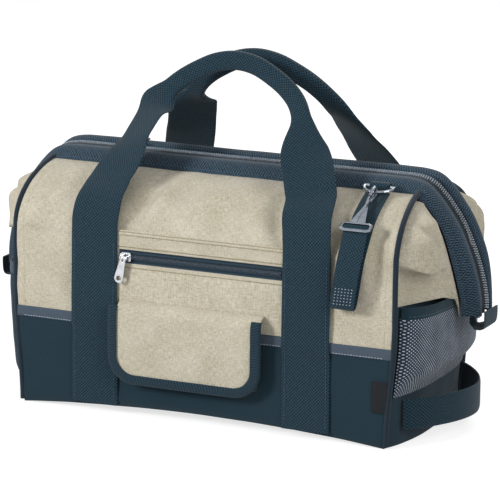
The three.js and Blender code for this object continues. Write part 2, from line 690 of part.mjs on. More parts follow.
function sliderPull() {
  const knuckle = new THREE.CylinderGeometry(pullKnuckleRadius, pullKnuckleRadius, 2 * pullKnuckleHalf, 16)
    .rotateZ(Math.PI / 2).translate(0, 0, pullBarHeight);
  const bore = new THREE.CylinderGeometry(pullBarRadius + 0.25, pullBarRadius + 0.25, 4 * pullKnuckleHalf, 16)
    .rotateZ(Math.PI / 2).translate(0, 0, pullBarHeight);
  const outline = new THREE.Shape();
  const neck = pullKnuckleHalf;
  const wide = pullWidth / 2;
  const neckEnd = -pullKnuckleRadius - 5;
  outline.moveTo(-neck, -pullBarRadius - 0.4);
  outline.lineTo(-neck, neckEnd);
  outline.lineTo(-wide, neckEnd - 3);
  outline.lineTo(-wide * 0.85, wide - pullLength);
  outline.absarc(0, wide - pullLength, wide * 0.85, Math.PI, 2 * Math.PI, false);
  outline.lineTo(wide, neckEnd - 3);
  outline.lineTo(neck, neckEnd);
  outline.lineTo(neck, -pullBarRadius - 0.4);
  outline.closePath();
  const eye = new THREE.Path();
  eye.absarc(0, wide + 1.5 - pullLength, pullHoleRadius, 0, 2 * Math.PI, true);
  outline.holes.push(eye);
  const plate = new THREE.ExtrudeGeometry(outline, { depth: pullThickness, bevelEnabled: false, curveSegments: 6 })
    .translate(0, 0, pullBarHeight - pullThickness / 2);
  return without(joined(knuckle, plate), bore);
}
function placeSlider(bodyName, pullName, straddles, place, finish, color) {
  for (const [name, geometry] of [[bodyName, sliderBody(straddles)], [pullName, sliderPull()]]) {
    place(addMesh(name, geometry, color, finish));
  }
}
const pocketSliderSeat = pocketFace + pocketTapeThickness + pocketRidge + seatGap;
placeSlider('pocket_slider', 'pocket_pull', false, (mesh) => {
  mesh.rotation.set(Math.PI / 2, 0, 0);
  mesh.position.set(pocketSliderX, -pocketSliderSeat, pocketZipCentre);
}, metalFinish, nickel);
const mouthZipTop = (x) => {
  const right = ridge.findIndex((stop) => stop.x >= Math.abs(x));
  const [low, high] = [ridge[right - 1], ridge[right]];
  return lerp(low.z, high.z, (Math.abs(x) - low.x) / (high.x - low.x));
};
for (const [name, x] of [['left', leftSliderX], ['right', rightSliderX]]) {
  placeSlider(`main_slider_${name}`, `main_pull_${name}`, true, (mesh) => {
    mesh.rotation.set(0, 0, Math.PI);
    mesh.position.set(x, 0, mouthZipTop(x) + 0.2);
  }, metalFinish, steel);
}

// Patch pocket: a shallow box open at the top, under the flap
const patchBack = highStrapY - webbingThickness / 2 + 0.1;
const patchLeft = -windowHalf + 0.6;
const patchRight = flapRight - patchInset;
const patchFront = patchBack + patchDepth;
addMesh('front_patch_pocket', without(
  box(patchLeft, patchRight, -patchFront, -patchBack, patchFoot, patchTop),
  box(patchLeft + patchThickness, patchRight - patchThickness, -patchFront + patchThickness, -patchBack - patchThickness,
    patchFoot + patchThickness, patchTop + 10)), bootNavy);

// Flap: a flat plate with rounded lower corners, and a root that turns back to the wall
function flapOutline(inset) {
  const outline = new THREE.Shape();
  const radius = flapCornerRadius - inset;
  const left = flapLeft + inset;
  const right = flapRight - inset;
  const foot = flapFoot + inset;
  outline.moveTo(left, flapPlateTop);
  outline.lineTo(left, foot + radius);
  outline.absarc(left + radius, foot + radius, radius, Math.PI, 1.5 * Math.PI, false);
  outline.absarc(right - radius, foot + radius, radius, 1.5 * Math.PI, 2 * Math.PI, false);
  outline.lineTo(right, flapPlateTop);
  outline.closePath();
  return outline;
}
const flapBackY = halfDepth + flapProud - flapThickness;
const flapRoot = [
  { y: 103.1, z: flapTop, left: patchLeft + 0.3 },
  { y: 106, z: flapTop - 0.4, left: patchLeft - 3.5 },
  { y: 109.5, z: flapTop - 2.2, left: flapLeft },
  { y: halfDepth + flapProud, z: flapPlateTop + 5, left: flapLeft },
  { y: halfDepth + flapProud, z: flapPlateTop - weldOverlap, left: flapLeft },
];
const rootNormals = flapRoot.map((row, n) => {
  const before = flapRoot[Math.max(0, n - 1)];
  const after = flapRoot[Math.min(flapRoot.length - 1, n + 1)];
  const run = Math.hypot(after.y - before.y, after.z - before.z);
  return { y: -(after.z - before.z) / run, z: (after.y - before.y) / run };
});
const rootGrid = (inset) => flapRoot.map((row, n) => steps(6).map((u) => point(
  lerp(row.left, flapRight, u), -(row.y - rootNormals[n].y * inset), row.z - rootNormals[n].z * inset)));
addMesh('pocket_flap', joined(
  frontPlate(flapOutline(0), -flapBackY, flapThickness),
  sheet(rootGrid(0), rootGrid(flapThickness))), beige);

const bindingOutline = flapOutline(0);
const inner = flapOutline(bindingWidth);
const bindingTop = flapPlateTop;
const innerCut = frontPlate(inner, -(halfDepth + flapProud) + 5, 20);
const topCut = box(flapLeft + bindingWidth, flapRight - bindingWidth, -140, -90, bindingTop - 5, bindingTop + 20);
addMesh('flap_binding', without(without(
  frontPlate(bindingOutline, -(halfDepth + flapProud + seatGap), bindingThickness), innerCut), topCut), navy);

// Blank label tab in the front right corner seam
addMesh('label_tab', box(labelTab.left, labelTab.right, -(pocketFace + labelTab.thickness), -pocketFace,
  labelTab.foot, labelTab.top), black);

// Tool holder: a tab on the band holds the ring, and a doubled webbing with a snap hook clips to the ring
const ringTabPath = [[33.4, 238.4], [38.5, 239.7], [43, 240.4], [45.3, 243], [43, 245.7], [39, 245.8], [34.6, 244]];
addMesh('ring_tab', ribbon(ringTabPath.map(([y, z]) => point(toolX, -y, z)), alongX,
  ringTabWidth, toolWebbingThickness), navy);

const ringDown = point(0, ringBar.y - ringFoot.y, ringFoot.z - ringBar.z).normalize();
const ringNormal = point(1, 0, 0).cross(ringDown).normalize();
const ringStart = point(toolX, -ringBar.y, ringBar.z);
const ringPath = [
  ...[-0.9, -0.45, 0, 0.45].map((share) => [share * ringHalfWidth, 0]),
  ...steps(10).map((v) => [ringHalfWidth * Math.cos(v * Math.PI), 1.5 + (ringDepth - 1.5) * Math.sin(v * Math.PI)]),
].map(([x, d]) => ringStart.clone().add(point(x, 0, 0)).addScaledVector(ringDown, d));
addMesh('d_ring', wire(ringPath, ringNormal, ringWire, 8, true), nickel, metalFinish);

// Snap hook frame: down runs from the ring to the eye, lift points away from the bag
const hookStart = point(toolX, -ringFoot.y, ringFoot.z);
const down = point(toolX, -hookEye.y, hookEye.z).sub(hookStart).normalize();
const lift = point(-1, 0, 0).cross(down).normalize();
const hookPoint = (x, d, h) => hookStart.clone().add(point(x, 0, 0))
  .addScaledVector(down, d).addScaledVector(lift, h);
const eyeStart = hookStart.distanceTo(point(toolX, -hookEye.y, hookEye.z)) - hookEyeDepth / 2;
const bill = [[eyeStart, 0], [30, 0.2], [20, -0.4], [12, -1.6], [6, -3], [0.5, -3.8], [-3.6, -2.4], [-4.8, 1],
  [-2.6, 4], [2, 5], [7, 4.9], [11, 4.6]];
const hookBody = wire(bill.map(([d, h]) => hookPoint(0, d, h)), point(1, 0, 0), hookWire, 8);
const eyeCorners = [[-1, 0.15], [-0.8, 0], [0.8, 0], [1, 0.15], [1, 0.85], [0.8, 1], [-0.8, 1], [-1, 0.85]];
const eyeRing = wire(eyeCorners.map(([x, d]) => hookPoint(x * hookEyeHalf, eyeStart + d * hookEyeDepth, 0)),
  lift, hookWire, 8, true);
const yokeGrid = (h) => [[14, 1.6], [22, 2.2], [30, 4], [eyeStart + 0.5, 8]].map(([d, halfWidth]) =>
  [-1, 0, 1].map((share) => hookPoint(share * halfWidth, d, h)));
addMesh('snap_hook', joined(hookBody, eyeRing, sheet(yokeGrid(1.3), yokeGrid(-1.1))), nickel, metalFinish);
const gatePath = [[11.4, 4.6], [16.5, 3.9], [21.5, 2.9]];
addMesh('hook_gate', wire(gatePath.map(([d, h]) => hookPoint(0, d, h)), point(1, 0, 0), 1, 8), nickel, metalFinish);

const eyeCentre = hookPoint(0, eyeStart + hookEyeDepth / 2, 0);
const toolRoute = [
  [47, 237.6], [60, 231.5], [74, 223.2], [86, 213.5], [96, 201], [102.5, 185], [105.5, 165], [106.8, toolFoot + 8],
  [108.6, toolFoot + 1.2], [111, toolFoot], [113.7, toolFoot + 2.4], [114, toolFoot + 20], [112, 180], [108, 198],
];
const toolPath = [
  ...toolRoute.map(([y, z]) =>
    point(toolX - toolLean * Math.max(0, (hookEye.z - 16 - z) / (hookEye.z - 16 - toolFoot)), -y, z)),
  point(toolX, eyeCentre.y - 2.2, eyeCentre.z - 6.5), point(toolX, eyeCentre.y - 0.6, eyeCentre.z - 0.8),
  point(toolX, eyeCentre.y + 0.6, eyeCentre.z + 1.6),
];
addMesh('tool_webbing', ribbon(toolPath, alongX, toolWebbingWidth, toolWebbingThickness), navy);

// Grab loop on the right end, sewn on at both feet
const loopPath = steps(18).map((u) => {
  const y = lerp(loopFrontY, loopBackY, u);
  const out = seatGap + loopThickness / 2 + 0.4 + loopReach * Math.sin(Math.PI * u) ** 0.8;
  return point(endX(y, loopHeight + loopWidth / 3) + out, y, loopHeight);
});
addMesh('grab_loop', ribbon(loopPath, () => point(0, 0, 1), loopWidth, loopThickness), navy);

export default bag;
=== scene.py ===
# Gate mouth tool bag: cloth, webbing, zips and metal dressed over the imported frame, in metres
from bisect import bisect_left, bisect_right
import math
import bpy
import bmesh
from mathutils import Matrix, Quaternion, Vector, noise


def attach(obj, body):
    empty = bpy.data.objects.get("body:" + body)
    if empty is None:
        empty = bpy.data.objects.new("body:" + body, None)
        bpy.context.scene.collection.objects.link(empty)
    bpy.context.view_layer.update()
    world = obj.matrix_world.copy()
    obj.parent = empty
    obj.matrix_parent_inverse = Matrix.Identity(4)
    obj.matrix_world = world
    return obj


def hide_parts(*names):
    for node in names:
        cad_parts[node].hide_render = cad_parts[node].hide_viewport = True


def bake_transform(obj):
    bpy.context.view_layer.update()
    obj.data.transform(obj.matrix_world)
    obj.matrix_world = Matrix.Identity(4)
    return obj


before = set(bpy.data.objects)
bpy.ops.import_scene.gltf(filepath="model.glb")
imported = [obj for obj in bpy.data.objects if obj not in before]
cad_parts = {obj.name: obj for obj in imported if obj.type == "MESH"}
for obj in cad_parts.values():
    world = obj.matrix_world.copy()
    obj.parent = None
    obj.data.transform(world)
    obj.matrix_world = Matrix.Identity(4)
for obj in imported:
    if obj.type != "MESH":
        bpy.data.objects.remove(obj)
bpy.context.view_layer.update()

MM = 0.001

# Body, in millimetres, as the solids have it
BASE_HALF = 194.0
SHOULDER_HALF = 201.0
LENGTH_RISE = 120.0
HALF_DEPTH = 100.0
END_HALF = 96.7
END_BULGE = 14.0
SHOULDER_Z = 181.0
SHOULDER_PULL = (94.0, 222.0)
ARCH = 10.0
KEEL_HALF = 55.0
BOOT_TOP = 88.0
BAND_LOW = 88.3
BAND_HIGH = 99.3
END_TOP = 139.0
UPPER_TOP_HALF = 195.0
SEAM_DEPTH = 34.5
UPPER_TOP = 236.5
HINGE_Z = 118.5

# The long sides by the sign of their depth, and the ends by the sign of their place along the bag
LONG_SIDES = ((-1, "front"), (1, "rear"))
ENDS = ((1, "right"), (-1, "left"))
FRONT = Vector((0, -1, 0))


def lerp(a, b, t):
    return a + (b - a) * t


def smoothstep(t, low=0.0, high=1.0):
    t = min(1.0, max(0.0, (t - low) / (high - low)))
    return t * t * (3 - 2 * t)


def mix(a, b, t):
    """Between two numbers, two points or two rows of numbers."""
    if isinstance(a, tuple):
        return tuple(lerp(p, q, t) for p, q in zip(a, b))
    return a.lerp(b, t) if isinstance(a, Vector) else lerp(a, b, t)


def window(value, low, full, fade, high):
    """1 from full to fade and 0 outside low and high, with soft ends."""
    return smoothstep(value, low, full) * (1 - smoothstep(value, fade, high))


def sample(values, share):
    """The value at a share of a list, on straight lines between its values."""
    place = min(max(share, 0.0), 1.0) * (len(values) - 1)
    low = min(int(place), len(values) - 2)
    return mix(values[low], values[low + 1], place - low)


def between(stops, key):
    """The value at a key, on straight lines between (key, value) stops and level outside them."""
    for (low, a), (high, b) in zip(stops, stops[1:]):
        if key <= high:
            break
    return mix(a, b, min(1.0, max(0.0, (key - low) / (high - low))))


def spline(a, b, c, d, t):
    """A smooth curve from b to c that also looks at its neighbours a and d."""
    return 0.5 * (2 * b + (c - a) * t + (2 * a - 5 * b + 4 * c - d) * t * t + (3 * b - a - 3 * c + d) * t ** 3)


def spline_row(rows, place, shift=0.0):
    """Every column of a table at a row number with a fraction, on smooth curves; a shift stays in the same span."""
    low = min(int(place), len(rows) - 2)
    around = (rows[min(max(low + n, 0), len(rows) - 1)] for n in (-1, 0, 1, 2))
    t = min(max(place - low + shift, 0.0), 1.0)
    return [spline(*column, t) for column in zip(*around)]


def running_lengths(points):
    """The length along a line of points up to each of them."""
    lengths = [0.0]
    for a, b in zip(points, points[1:]):
        lengths.append(lengths[-1] + math.dist(a, b))
    return lengths


def corner_x(z):
    return lerp(BASE_HALF, SHOULDER_HALF, smoothstep(z, 0, LENGTH_RISE))


def end_x(y, z):
    return corner_x(z) + END_BULGE * (1 - abs(y / END_HALF) ** 3)


def arch_at(x):
    return ARCH * max(0.0, 1 - (x / BASE_HALF) ** 2)


def underside(x, y):
    return arch_at(x) * max(0.0, (abs(y) - KEEL_HALF) / (HALF_DEPTH - KEEL_HALF))


def shoulder_curve(t):
    """Depth and height over the shoulder, from the top of the wall at 0 to the mouth at 1."""
    k = 1 - t
    y = k * k * HALF_DEPTH + 2 * k * t * SHOULDER_PULL[0] + t * t * SEAM_DEPTH
    z = k * k * (SHOULDER_Z + 0.6) + 2 * k * t * SHOULDER_PULL[1] + t * t * UPPER_TOP
    return y, z


def shoulder_normal(t):
    (ay, az), (by, bz) = shoulder_curve(max(0, t - 0.01)), shoulder_curve(min(1, t + 0.01))
    run = math.hypot(by - ay, bz - az)
    return (bz - az) / run, -(by - ay) / run


def shoulder_half(t):
    return lerp(corner_x(SHOULDER_Z), UPPER_TOP_HALF, t * t)


def shoulder_t(z):
    """Where the shoulder's curve reaches a height."""
    low, high = 0.0, 1.0
    for _ in range(30):
        middle = (low + high) / 2
        if shoulder_curve(middle)[1] < z:
            low = middle
        else:
            high = middle
    return low


def ripple(x, y, z, scale, seed):
    """Soft unevenness of cloth, between about -1 and 1."""
    return noise.noise(Vector((x / scale + seed * 7.31, y / scale - seed * 3.7, z / scale + seed * 1.9)))


def fold(x, z, at_x, at_z, angle, length, width, height):
    """A soft fold: a ridge of the given length and width whose direction leans by the angle."""
    c, s = math.cos(math.radians(angle)), math.sin(math.radians(angle))
    along = (x - at_x) * c + (z - at_z) * s
    across = -(x - at_x) * s + (z - at_z) * c
    return height * math.exp(-(along / length) ** 2 - (across / width) ** 2)


def folds(x, z, table):
    return sum(fold(x, z, *entry) for entry in table)


# Mesh helpers
def deselect():
    if bpy.context.object and bpy.context.object.mode != "OBJECT":
        bpy.ops.object.mode_set(mode="OBJECT")
    bpy.ops.object.select_all(action="DESELECT")


def activate(obj):
    deselect()
    obj.select_set(True)
    bpy.context.view_layer.objects.active = obj


def link(name, data):
    obj = bpy.data.objects.new(name, data)
    bpy.context.collection.objects.link(obj)
    return obj


def smooth_faces(obj, angle):
    activate(obj)
    bpy.ops.object.shade_smooth_by_angle(angle=math.radians(angle))


def lay_uv(mesh, chart):
    """Gives a mesh a UV map in metres: the chart takes a corner's vertex."""
    layer = mesh.uv_layers.active or mesh.uv_layers.new(name="cloth")
    for loop in mesh.loops:
        layer.data[loop.index].uv = chart(mesh.vertices[loop.vertex_index])


def grid_piece(name, columns, rows, place, size, ring=False, chart=None):
    """A grid primitive laid out by place(u, v) in millimetres, with a UV map in metres of the given size."""
    deselect()
    bpy.ops.mesh.primitive_grid_add(x_subdivisions=columns, y_subdivisions=rows, size=1)
    obj = bpy.context.object
    obj.name = name
    mesh = obj.data
    mesh.name = name
    shares = [(v.co.x + 0.5, v.co.y + 0.5) for v in mesh.vertices]
    chart = chart or (lambda u, v: (u * size[0], v * size[1]))
    lay_uv(mesh, lambda vertex: chart(*shares[vertex.index]))
    for vertex, (u, v) in zip(mesh.vertices, shares):
        vertex.co = Vector(place(u, v)) * MM
    mesh.update()
    if ring:
        bpy.ops.object.mode_set(mode="EDIT")
        bpy.ops.mesh.select_all(action="SELECT")
        bpy.ops.mesh.remove_doubles(threshold=0.00005)
        bpy.ops.object.mode_set(mode="OBJECT")
    return obj


def face_outwards(obj, outward):
    """Turns the sheet over when most of it faces away from the outward direction or from a point function."""
    total = 0.0
    for polygon in obj.data.polygons:
        hint = outward(polygon.center) if callable(outward) else outward
        total += polygon.area * polygon.normal.dot(hint)
    if total < 0:
        obj.data.flip_normals()


def thicken(obj, thickness, bevel):
    """Gives a sheet its wall inwards from its outer face, with rounded edges."""
    wall = obj.modifiers.new("wall", "SOLIDIFY")
    wall.thickness = thickness * MM
    wall.offset = -1
    wall.use_quality_normals = True
    if bevel:
        edge = obj.modifiers.new("edge", "BEVEL")
        edge.width = bevel * MM
        edge.segments = 2
        edge.limit_method = "ANGLE"
        edge.angle_limit = math.radians(50)
    activate(obj)
    for modifier in list(obj.modifiers):
        bpy.ops.object.modifier_apply(modifier=modifier.name)
    smooth_faces(obj, 50)


def cloth(name, columns, rows, place, size, thickness, outward, bevel=0.4):
    obj = grid_piece(name, columns, rows, place, size)
    face_outwards(obj, outward)
    thicken(obj, thickness, bevel)
    return obj


def smooth_path(points, count):
    """Evenly spaced points on a smooth curve through the given points, in millimetres."""
    knots = [Vector(p) for p in points]
    last = len(knots) - 1
    dense = [spline(knots[max(n - 1, 0)], knots[n], knots[n + 1], knots[min(n + 2, last)], step / 24)
             for n in range(last) for step in range(24)]
    dense.append(knots[-1])
    lengths = running_lengths(dense)
    out = []
    for step in range(count + 1):
        want = lengths[-1] * step / count
        low = min(bisect_left(lengths, want, 1) - 1, len(dense) - 2)
        out.append(dense[low].lerp(dense[low + 1], (want - lengths[low]) / (lengths[low + 1] - lengths[low])))
    return out


def path_length(path):
    return running_lengths(path)[-1]


def directions(path):
    return [(path[min(n + 1, len(path) - 1)] - path[max(n - 1, 0)]).normalized() for n in range(len(path))]


def strap(name, path, across, width, thickness, rows, around=20):
    """Webbing along a path: a closed tube of flattened section, with selvedges and a woven UV map."""
    length = path_length(path)
    wides, normals = [], []
    for n, along in enumerate(directions(path)):
        wide = across(n) if callable(across) else Vector(across)
        normals.append(along.cross(wide).normalized())
        wides.append(normals[-1].cross(along).normalized())

    def offset(u, v):
        """Across and out of the webbing at a share round its section."""
        c, s = math.cos(2 * math.pi * u), math.sin(2 * math.pi * u)
        w = width(v) if callable(width) else width
        h = thickness(v) if callable(thickness) else thickness
        return math.copysign(abs(c) ** 0.35, c) * w / 2, math.copysign(abs(s) ** 0.75, s) * h / 2

    def place(u, v):
        a, b = offset(u, v)
        return sample(path, v) + sample(wides, v).normalized() * a + sample(normals, v).normalized() * b

    obj = grid_piece(name, around, rows, place, (1, 1), ring=True,
                     chart=lambda u, v: (offset(u, v)[0] * MM, v * length * MM))
    activate(obj)
    bpy.ops.object.mode_set(mode="EDIT")
    bpy.ops.mesh.select_all(action="DESELECT")
    bpy.ops.mesh.select_mode(type="EDGE")
    bpy.ops.mesh.select_non_manifold()
    bpy.ops.mesh.edge_face_add()
    bpy.ops.mesh.select_all(action="SELECT")
    bpy.ops.mesh.normals_make_consistent(inside=False)
    bpy.ops.object.mode_set(mode="OBJECT")
    smooth_faces(obj, 60)
    return obj


# Materials
class Value:
    """A socket of a node tree that plain arithmetic can be written with."""

    def __init__(self, tree, socket):
        self.tree = tree
        self.socket = socket

    def into(self, node, name):
        self.tree.links.new(self.socket, node.inputs[name])
        return node

    def calculate(self, operation, *others):
        node = self.tree.nodes.new("ShaderNodeMath")
        node.operation = operation
        for index, value in enumerate((self, *others)):
            if isinstance(value, Value):
                value.into(node, index)
            else:
                node.inputs[index].default_value = value
        return Value(self.tree, node.outputs[0])

    def __add__(self, other):
        return self.calculate("ADD", other)

    def __sub__(self, other):
        return self.calculate("SUBTRACT", other)

    def __mul__(self, other):
        return self.calculate("MULTIPLY", other)

    def within_one(self):
        return self.calculate("MAXIMUM", 0.0).calculate("MINIMUM", 1.0)

    def wave(self, scale):
        return (self * scale).calculate("SINE")

    def axes(self):
        node = self.into(self.tree.nodes.new("ShaderNodeSeparateXYZ"), 0)
        return Value(self.tree, node.outputs["X"]), Value(self.tree, node.outputs["Y"])

    def stretched(self, *scale):
        node = self.into(self.tree.nodes.new("ShaderNodeMapping"), "Vector")
        node.inputs["Scale"].default_value = scale
        return Value(self.tree, node.outputs["Vector"])

    def noise(self, scale, detail=2.0, roughness=0.5):
        node = self.into(self.tree.nodes.new("ShaderNodeTexNoise"), "Vector")
        for name, number in (("Scale", scale), ("Detail", detail), ("Roughness", roughness)):
            node.inputs[name].default_value = number
        return Value(self.tree, node.outputs["Fac"])

    def through(self, group, **numbers):
        """What a shared effect gives at this place, in the order of its outputs."""
        node = self.tree.nodes.new("ShaderNodeGroup")
        node.node_tree = group
        self.into(node, "Vector")
        for name, number in numbers.items():
            node.inputs[name].default_value = number
        return [Value(self.tree, socket) for socket in node.outputs]


def shared_effect(name, defaults, outputs, build):
    """A node group: build turns the place and the given numbers into one value for each output."""
    group = bpy.data.node_groups.new(name, "ShaderNodeTree")
    group.interface.new_socket("Vector", in_out="INPUT", socket_type="NodeSocketVector")
    for label, value in defaults.items():
        socket = group.interface.new_socket(label, in_out="INPUT", socket_type="NodeSocketFloat")
        socket.default_value = value
    for label in outputs:
        group.interface.new_socket(label, in_out="OUTPUT", socket_type="NodeSocketFloat")
    given, result = group.nodes.new("NodeGroupInput"), group.nodes.new("NodeGroupOutput")
    values = build(*(Value(group, given.outputs[label]) for label in ("Vector", *defaults)))
    for label, value in zip(outputs, values):
        value.into(result, label)
    return group


def plain_weave(place, threads, slub):
    """Over and under threads, with uneven thick yarns: a shade from 0 to 1 and a height."""
    warp, weft = ((axis * threads).wave(math.pi) for axis in place.axes())
    height = warp * weft * 0.5 + 0.5
    yarn = (place.stretched(190, 1100, 1).noise(1.0, 3.0, 0.75) * 0.5
            + place.stretched(1100, 190, 1).noise(1.0, 3.0, 0.75) * 0.5)
    uneven = (yarn - 0.5) * 4.0
    patch = (place.noise(26.0, 3.0, 0.6) - 0.5) * 0.9
    shade = (uneven + patch) * slub + 0.5 + (height - 0.5) * 0.12
    return shade.within_one(), height + uneven * 0.4


CHECKS = 600 * math.pi


def rib_weave(place, ribs, slant, cross):
    x, y = place.axes()
    rib = ((x * slant + y) * ribs).wave(2 * math.pi)
    check = x.wave(CHECKS) * y.wave(CHECKS)
    height = (rib + (check - rib) * cross) * 0.5 + 0.5
    shade = height * 0.65 + place.stretched(300, 300, 1).noise(1.0, 3.0, 0.6) * 0.35
    return shade.within_one(), height


def net_knot_highlights(place, cells, knot):
    """A net seen as diagonal rows of knots with painted highlights on dark cloth: a mask of the knots' painted
    highlights and their height.
    """
    x, y = place.axes()
    x = x + place.noise(60.0, 1.0) * 0.003
    away = [(diagonal * cells + 500.0).calculate("PINGPONG", 0.5) for diagonal in (x + y, x - y)]
    distance = (away[0] * away[0] + away[1] * away[1]).calculate("SQRT")
    return ((knot - distance) * 8.0).within_one(), distance * -1.0 + 0.7


def rubbed_metal(place):
    """Fine scratches and rubbed patches: a shade and a height."""
    fine = place.stretched(300, 2600, 700).noise(1.0, 3.0, 0.6)
    return fine * 0.5 + place.noise(120.0, 2.0, 0.5) * 0.5, fine


SHADED = ("Shade", "Height")
PLAIN_WEAVE = shared_effect("plain_weave", {"Threads": 900.0, "Slub": 0.5}, SHADED, plain_weave)
RIB_WEAVE = shared_effect("rib_weave", {"Ribs": 500.0, "Slant": 1.0, "Cross": 0.12}, SHADED, rib_weave)
NET = shared_effect("net", {"Cells": 300.0, "Knot": 0.3}, ("Mask", "Height"), net_knot_highlights)
RUB = shared_effect("rub", {}, SHADED, rubbed_metal)


def linear(hex_colour):
    channels = [int(hex_colour[n:n + 2], 16) / 255 for n in (0, 2, 4)]
    return tuple(c / 12.92 if c <= 0.04045 else ((c + 0.055) / 1.055) ** 2.4 for c in channels) + (1.0,)


def start_material(name, on_uv, roughness, sheen=0.0, metallic=0.0):
    """A material, its shader, and the place on the piece: on its UV map or in its own space."""
    material = bpy.data.materials.new(name)
    material.use_nodes = True
    tree = material.node_tree
    shader = tree.nodes["Principled BSDF"]
    for label, number in (("Roughness", roughness), ("Metallic", metallic), ("Sheen Weight", sheen),
                          ("Sheen Roughness", 0.6), ("Specular IOR Level", 0.5 if metallic else 0.18)):
        shader.inputs[label].default_value = number
    if on_uv:
        return material, shader, Value(tree, tree.nodes.new("ShaderNodeUVMap").outputs["UV"])
    return material, shader, Value(tree, tree.nodes.new("ShaderNodeTexCoord").outputs["Object"])


def finish_shader(shader, shade, stops, height, strength, distance):
    """Colours the shader by the shade, through stops of a position and a colour, and gives it a relief."""
    tree = shade.tree
    ramp = shade.into(tree.nodes.new("ShaderNodeValToRGB"), "Fac")
    elements = ramp.color_ramp.elements
    for element, (position, code) in zip(elements, (stops[0], stops[-1])):
        element.position, element.color = position, linear(code)
    for position, code in stops[1:-1]:
        elements.new(position).color = linear(code)
    tree.links.new(ramp.outputs["Color"], shader.inputs["Base Color"])
    bump = height.into(tree.nodes.new("ShaderNodeBump"), "Height")
    bump.inputs["Strength"].default_value = strength
    bump.inputs["Distance"].default_value = distance
    tree.links.new(bump.outputs["Normal"], shader.inputs["Normal"])


def woven(name, dark, middle, light, threads, slub, roughness=0.92, sheen=0.15, relief=0.35):
    """Plain woven cloth on the piece's own UV map."""
    material, shader, place = start_material(name, True, roughness, sheen)
    shade, height = place.through(PLAIN_WEAVE, Threads=threads, Slub=slub)
    finish_shader(shader, shade, [(0.1, dark), (0.5, middle), (0.9, light)], height, relief, 0.0003)
    return material


def ribbed(name, dark, light, ribs, slant, cross=0.12):
    """Webbing, twill tape and zip tape on the piece's own UV map."""
    material, shader, place = start_material(name, True, 0.85, 0.1)
    shade, height = place.through(RIB_WEAVE, Ribs=ribs, Slant=slant, Cross=cross)
    finish_shader(shader, shade, [(0.32, dark), (0.76, light)], height, 0.5, 0.0004)
    return material


def metal(name, dark, light, roughness):
    material, shader, place = start_material(name, False, roughness, metallic=1.0)
    shade, height = place.through(RUB)
    finish_shader(shader, shade, [(0.3, dark), (0.7, light)], height, 0.05, 0.0001)
    (shade * 0.2 + (roughness - 0.08)).into(shader, "Roughness")
    return material


def thread(name, dark, light):
    material, shader, place = start_material(name, False, 0.7, 0.1)
    twist = place.stretched(900, 900, 900).noise(1.0, 1.0)
    finish_shader(shader, twist, [(0.3, dark), (0.7, light)], twist, 0.3, 0.0001)
    return material


def net_cloth(name):
    material, shader, place = start_material(name, True, 0.8, 0.1)
    mask, height = place.through(NET, Cells=300.0, Knot=0.34)
    # The knots' light grey is painted highlight, made unevenly bright by the noise
    shade = mask * (place.noise(60.0, 2.0) * 0.8 + 0.45)
    finish_shader(shader, shade, [(0.0, "1B2938"), (0.35, "475668"), (1.0, "C9D0DB")], height, 0.8, 0.0006)
    return material


CANVAS = woven("beige_canvas", "9F9780", "B9B29F", "CFC9BB", 900.0, 0.75)
BOOT = woven("navy_boot_cloth", "061E29", "0B2733", "133441", 1100.0, 0.22, 0.8, 0.1, 0.25)
SLATE = woven("slate_tape", "36424E", "434F5C", "525F6D", 1000.0, 0.25, 0.85, 0.1)
WEBBING = ribbed("navy_webbing", "03121A", "214151", 430.0, 0.3, 0.9)
TWILL = ribbed("navy_twill", "05141D", "445B6D", 130.0, 3.0, 0.55)
BINDING = ribbed("binding_tape", "0B1E29", "1F3946", 120.0, 3.0, 0.3)
PIPING = ribbed("piping_tape", "0D1822", "1C2F3D", 700.0, 0.6)
POCKET_TAPE = ribbed("pocket_tape", "10202B", "263D4B", 300.0, 0.0, 0.3)
ZIP_TAPE = ribbed("zip_tape", "0A141C", "17232D", 700.0, 0.4)
# The main zip coil's light grey is painted highlight on its turns
COIL_PAINTED_HIGHLIGHT = thread("zip_coil", "66727F", "B4BEC9")
DARK_COIL = thread("pocket_coil", "2B3540", "5A6673")
NAVY_THREAD = thread("navy_thread", "2A3F4E", "4A6274")
BEIGE_THREAD = thread("beige_thread", "A2977A", "D6CCB2")
PALE_THREAD = thread("pale_thread", "7C8792", "AEB8C2")
# Dark dots for the needle holes: painted shade, the shade that falls in the holes just below each stitch row
NEEDLE_HOLE_PAINTED_SHADE = thread("needle_hole_painted_shade", "857B66", "978D78")
NET_CLOTH = net_cloth("pocket_net")
LABEL = woven("label_cloth", "0C0E11", "15181C", "22262B", 1400.0, 0.2, 0.7, 0.0, 0.2)
BOARD = woven("board_cover", "15191E", "1C2127", "262C33", 800.0, 0.2, 0.7, 0.0, 0.3)
STEEL = metal("plated_steel", "7E8185", "A9ABAE", 0.34)
GUNMETAL = metal("gunmetal", "26282C", "4A4D52", 0.34)
NICKEL = metal("nickel_plate", "A7AAAE", "C9CBCE", 0.24)
FORGED = metal("forged_nickel", "767E87", "9CA3AB", 0.2)


def dress(obj, material, slot, *nodes):
    """Gives a piece its material and hides the CAD nodes that it stands for; the slot is not used."""
    obj.data.materials.clear()
    obj.data.materials.append(material)
    if nodes:
        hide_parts(*nodes)
    return obj


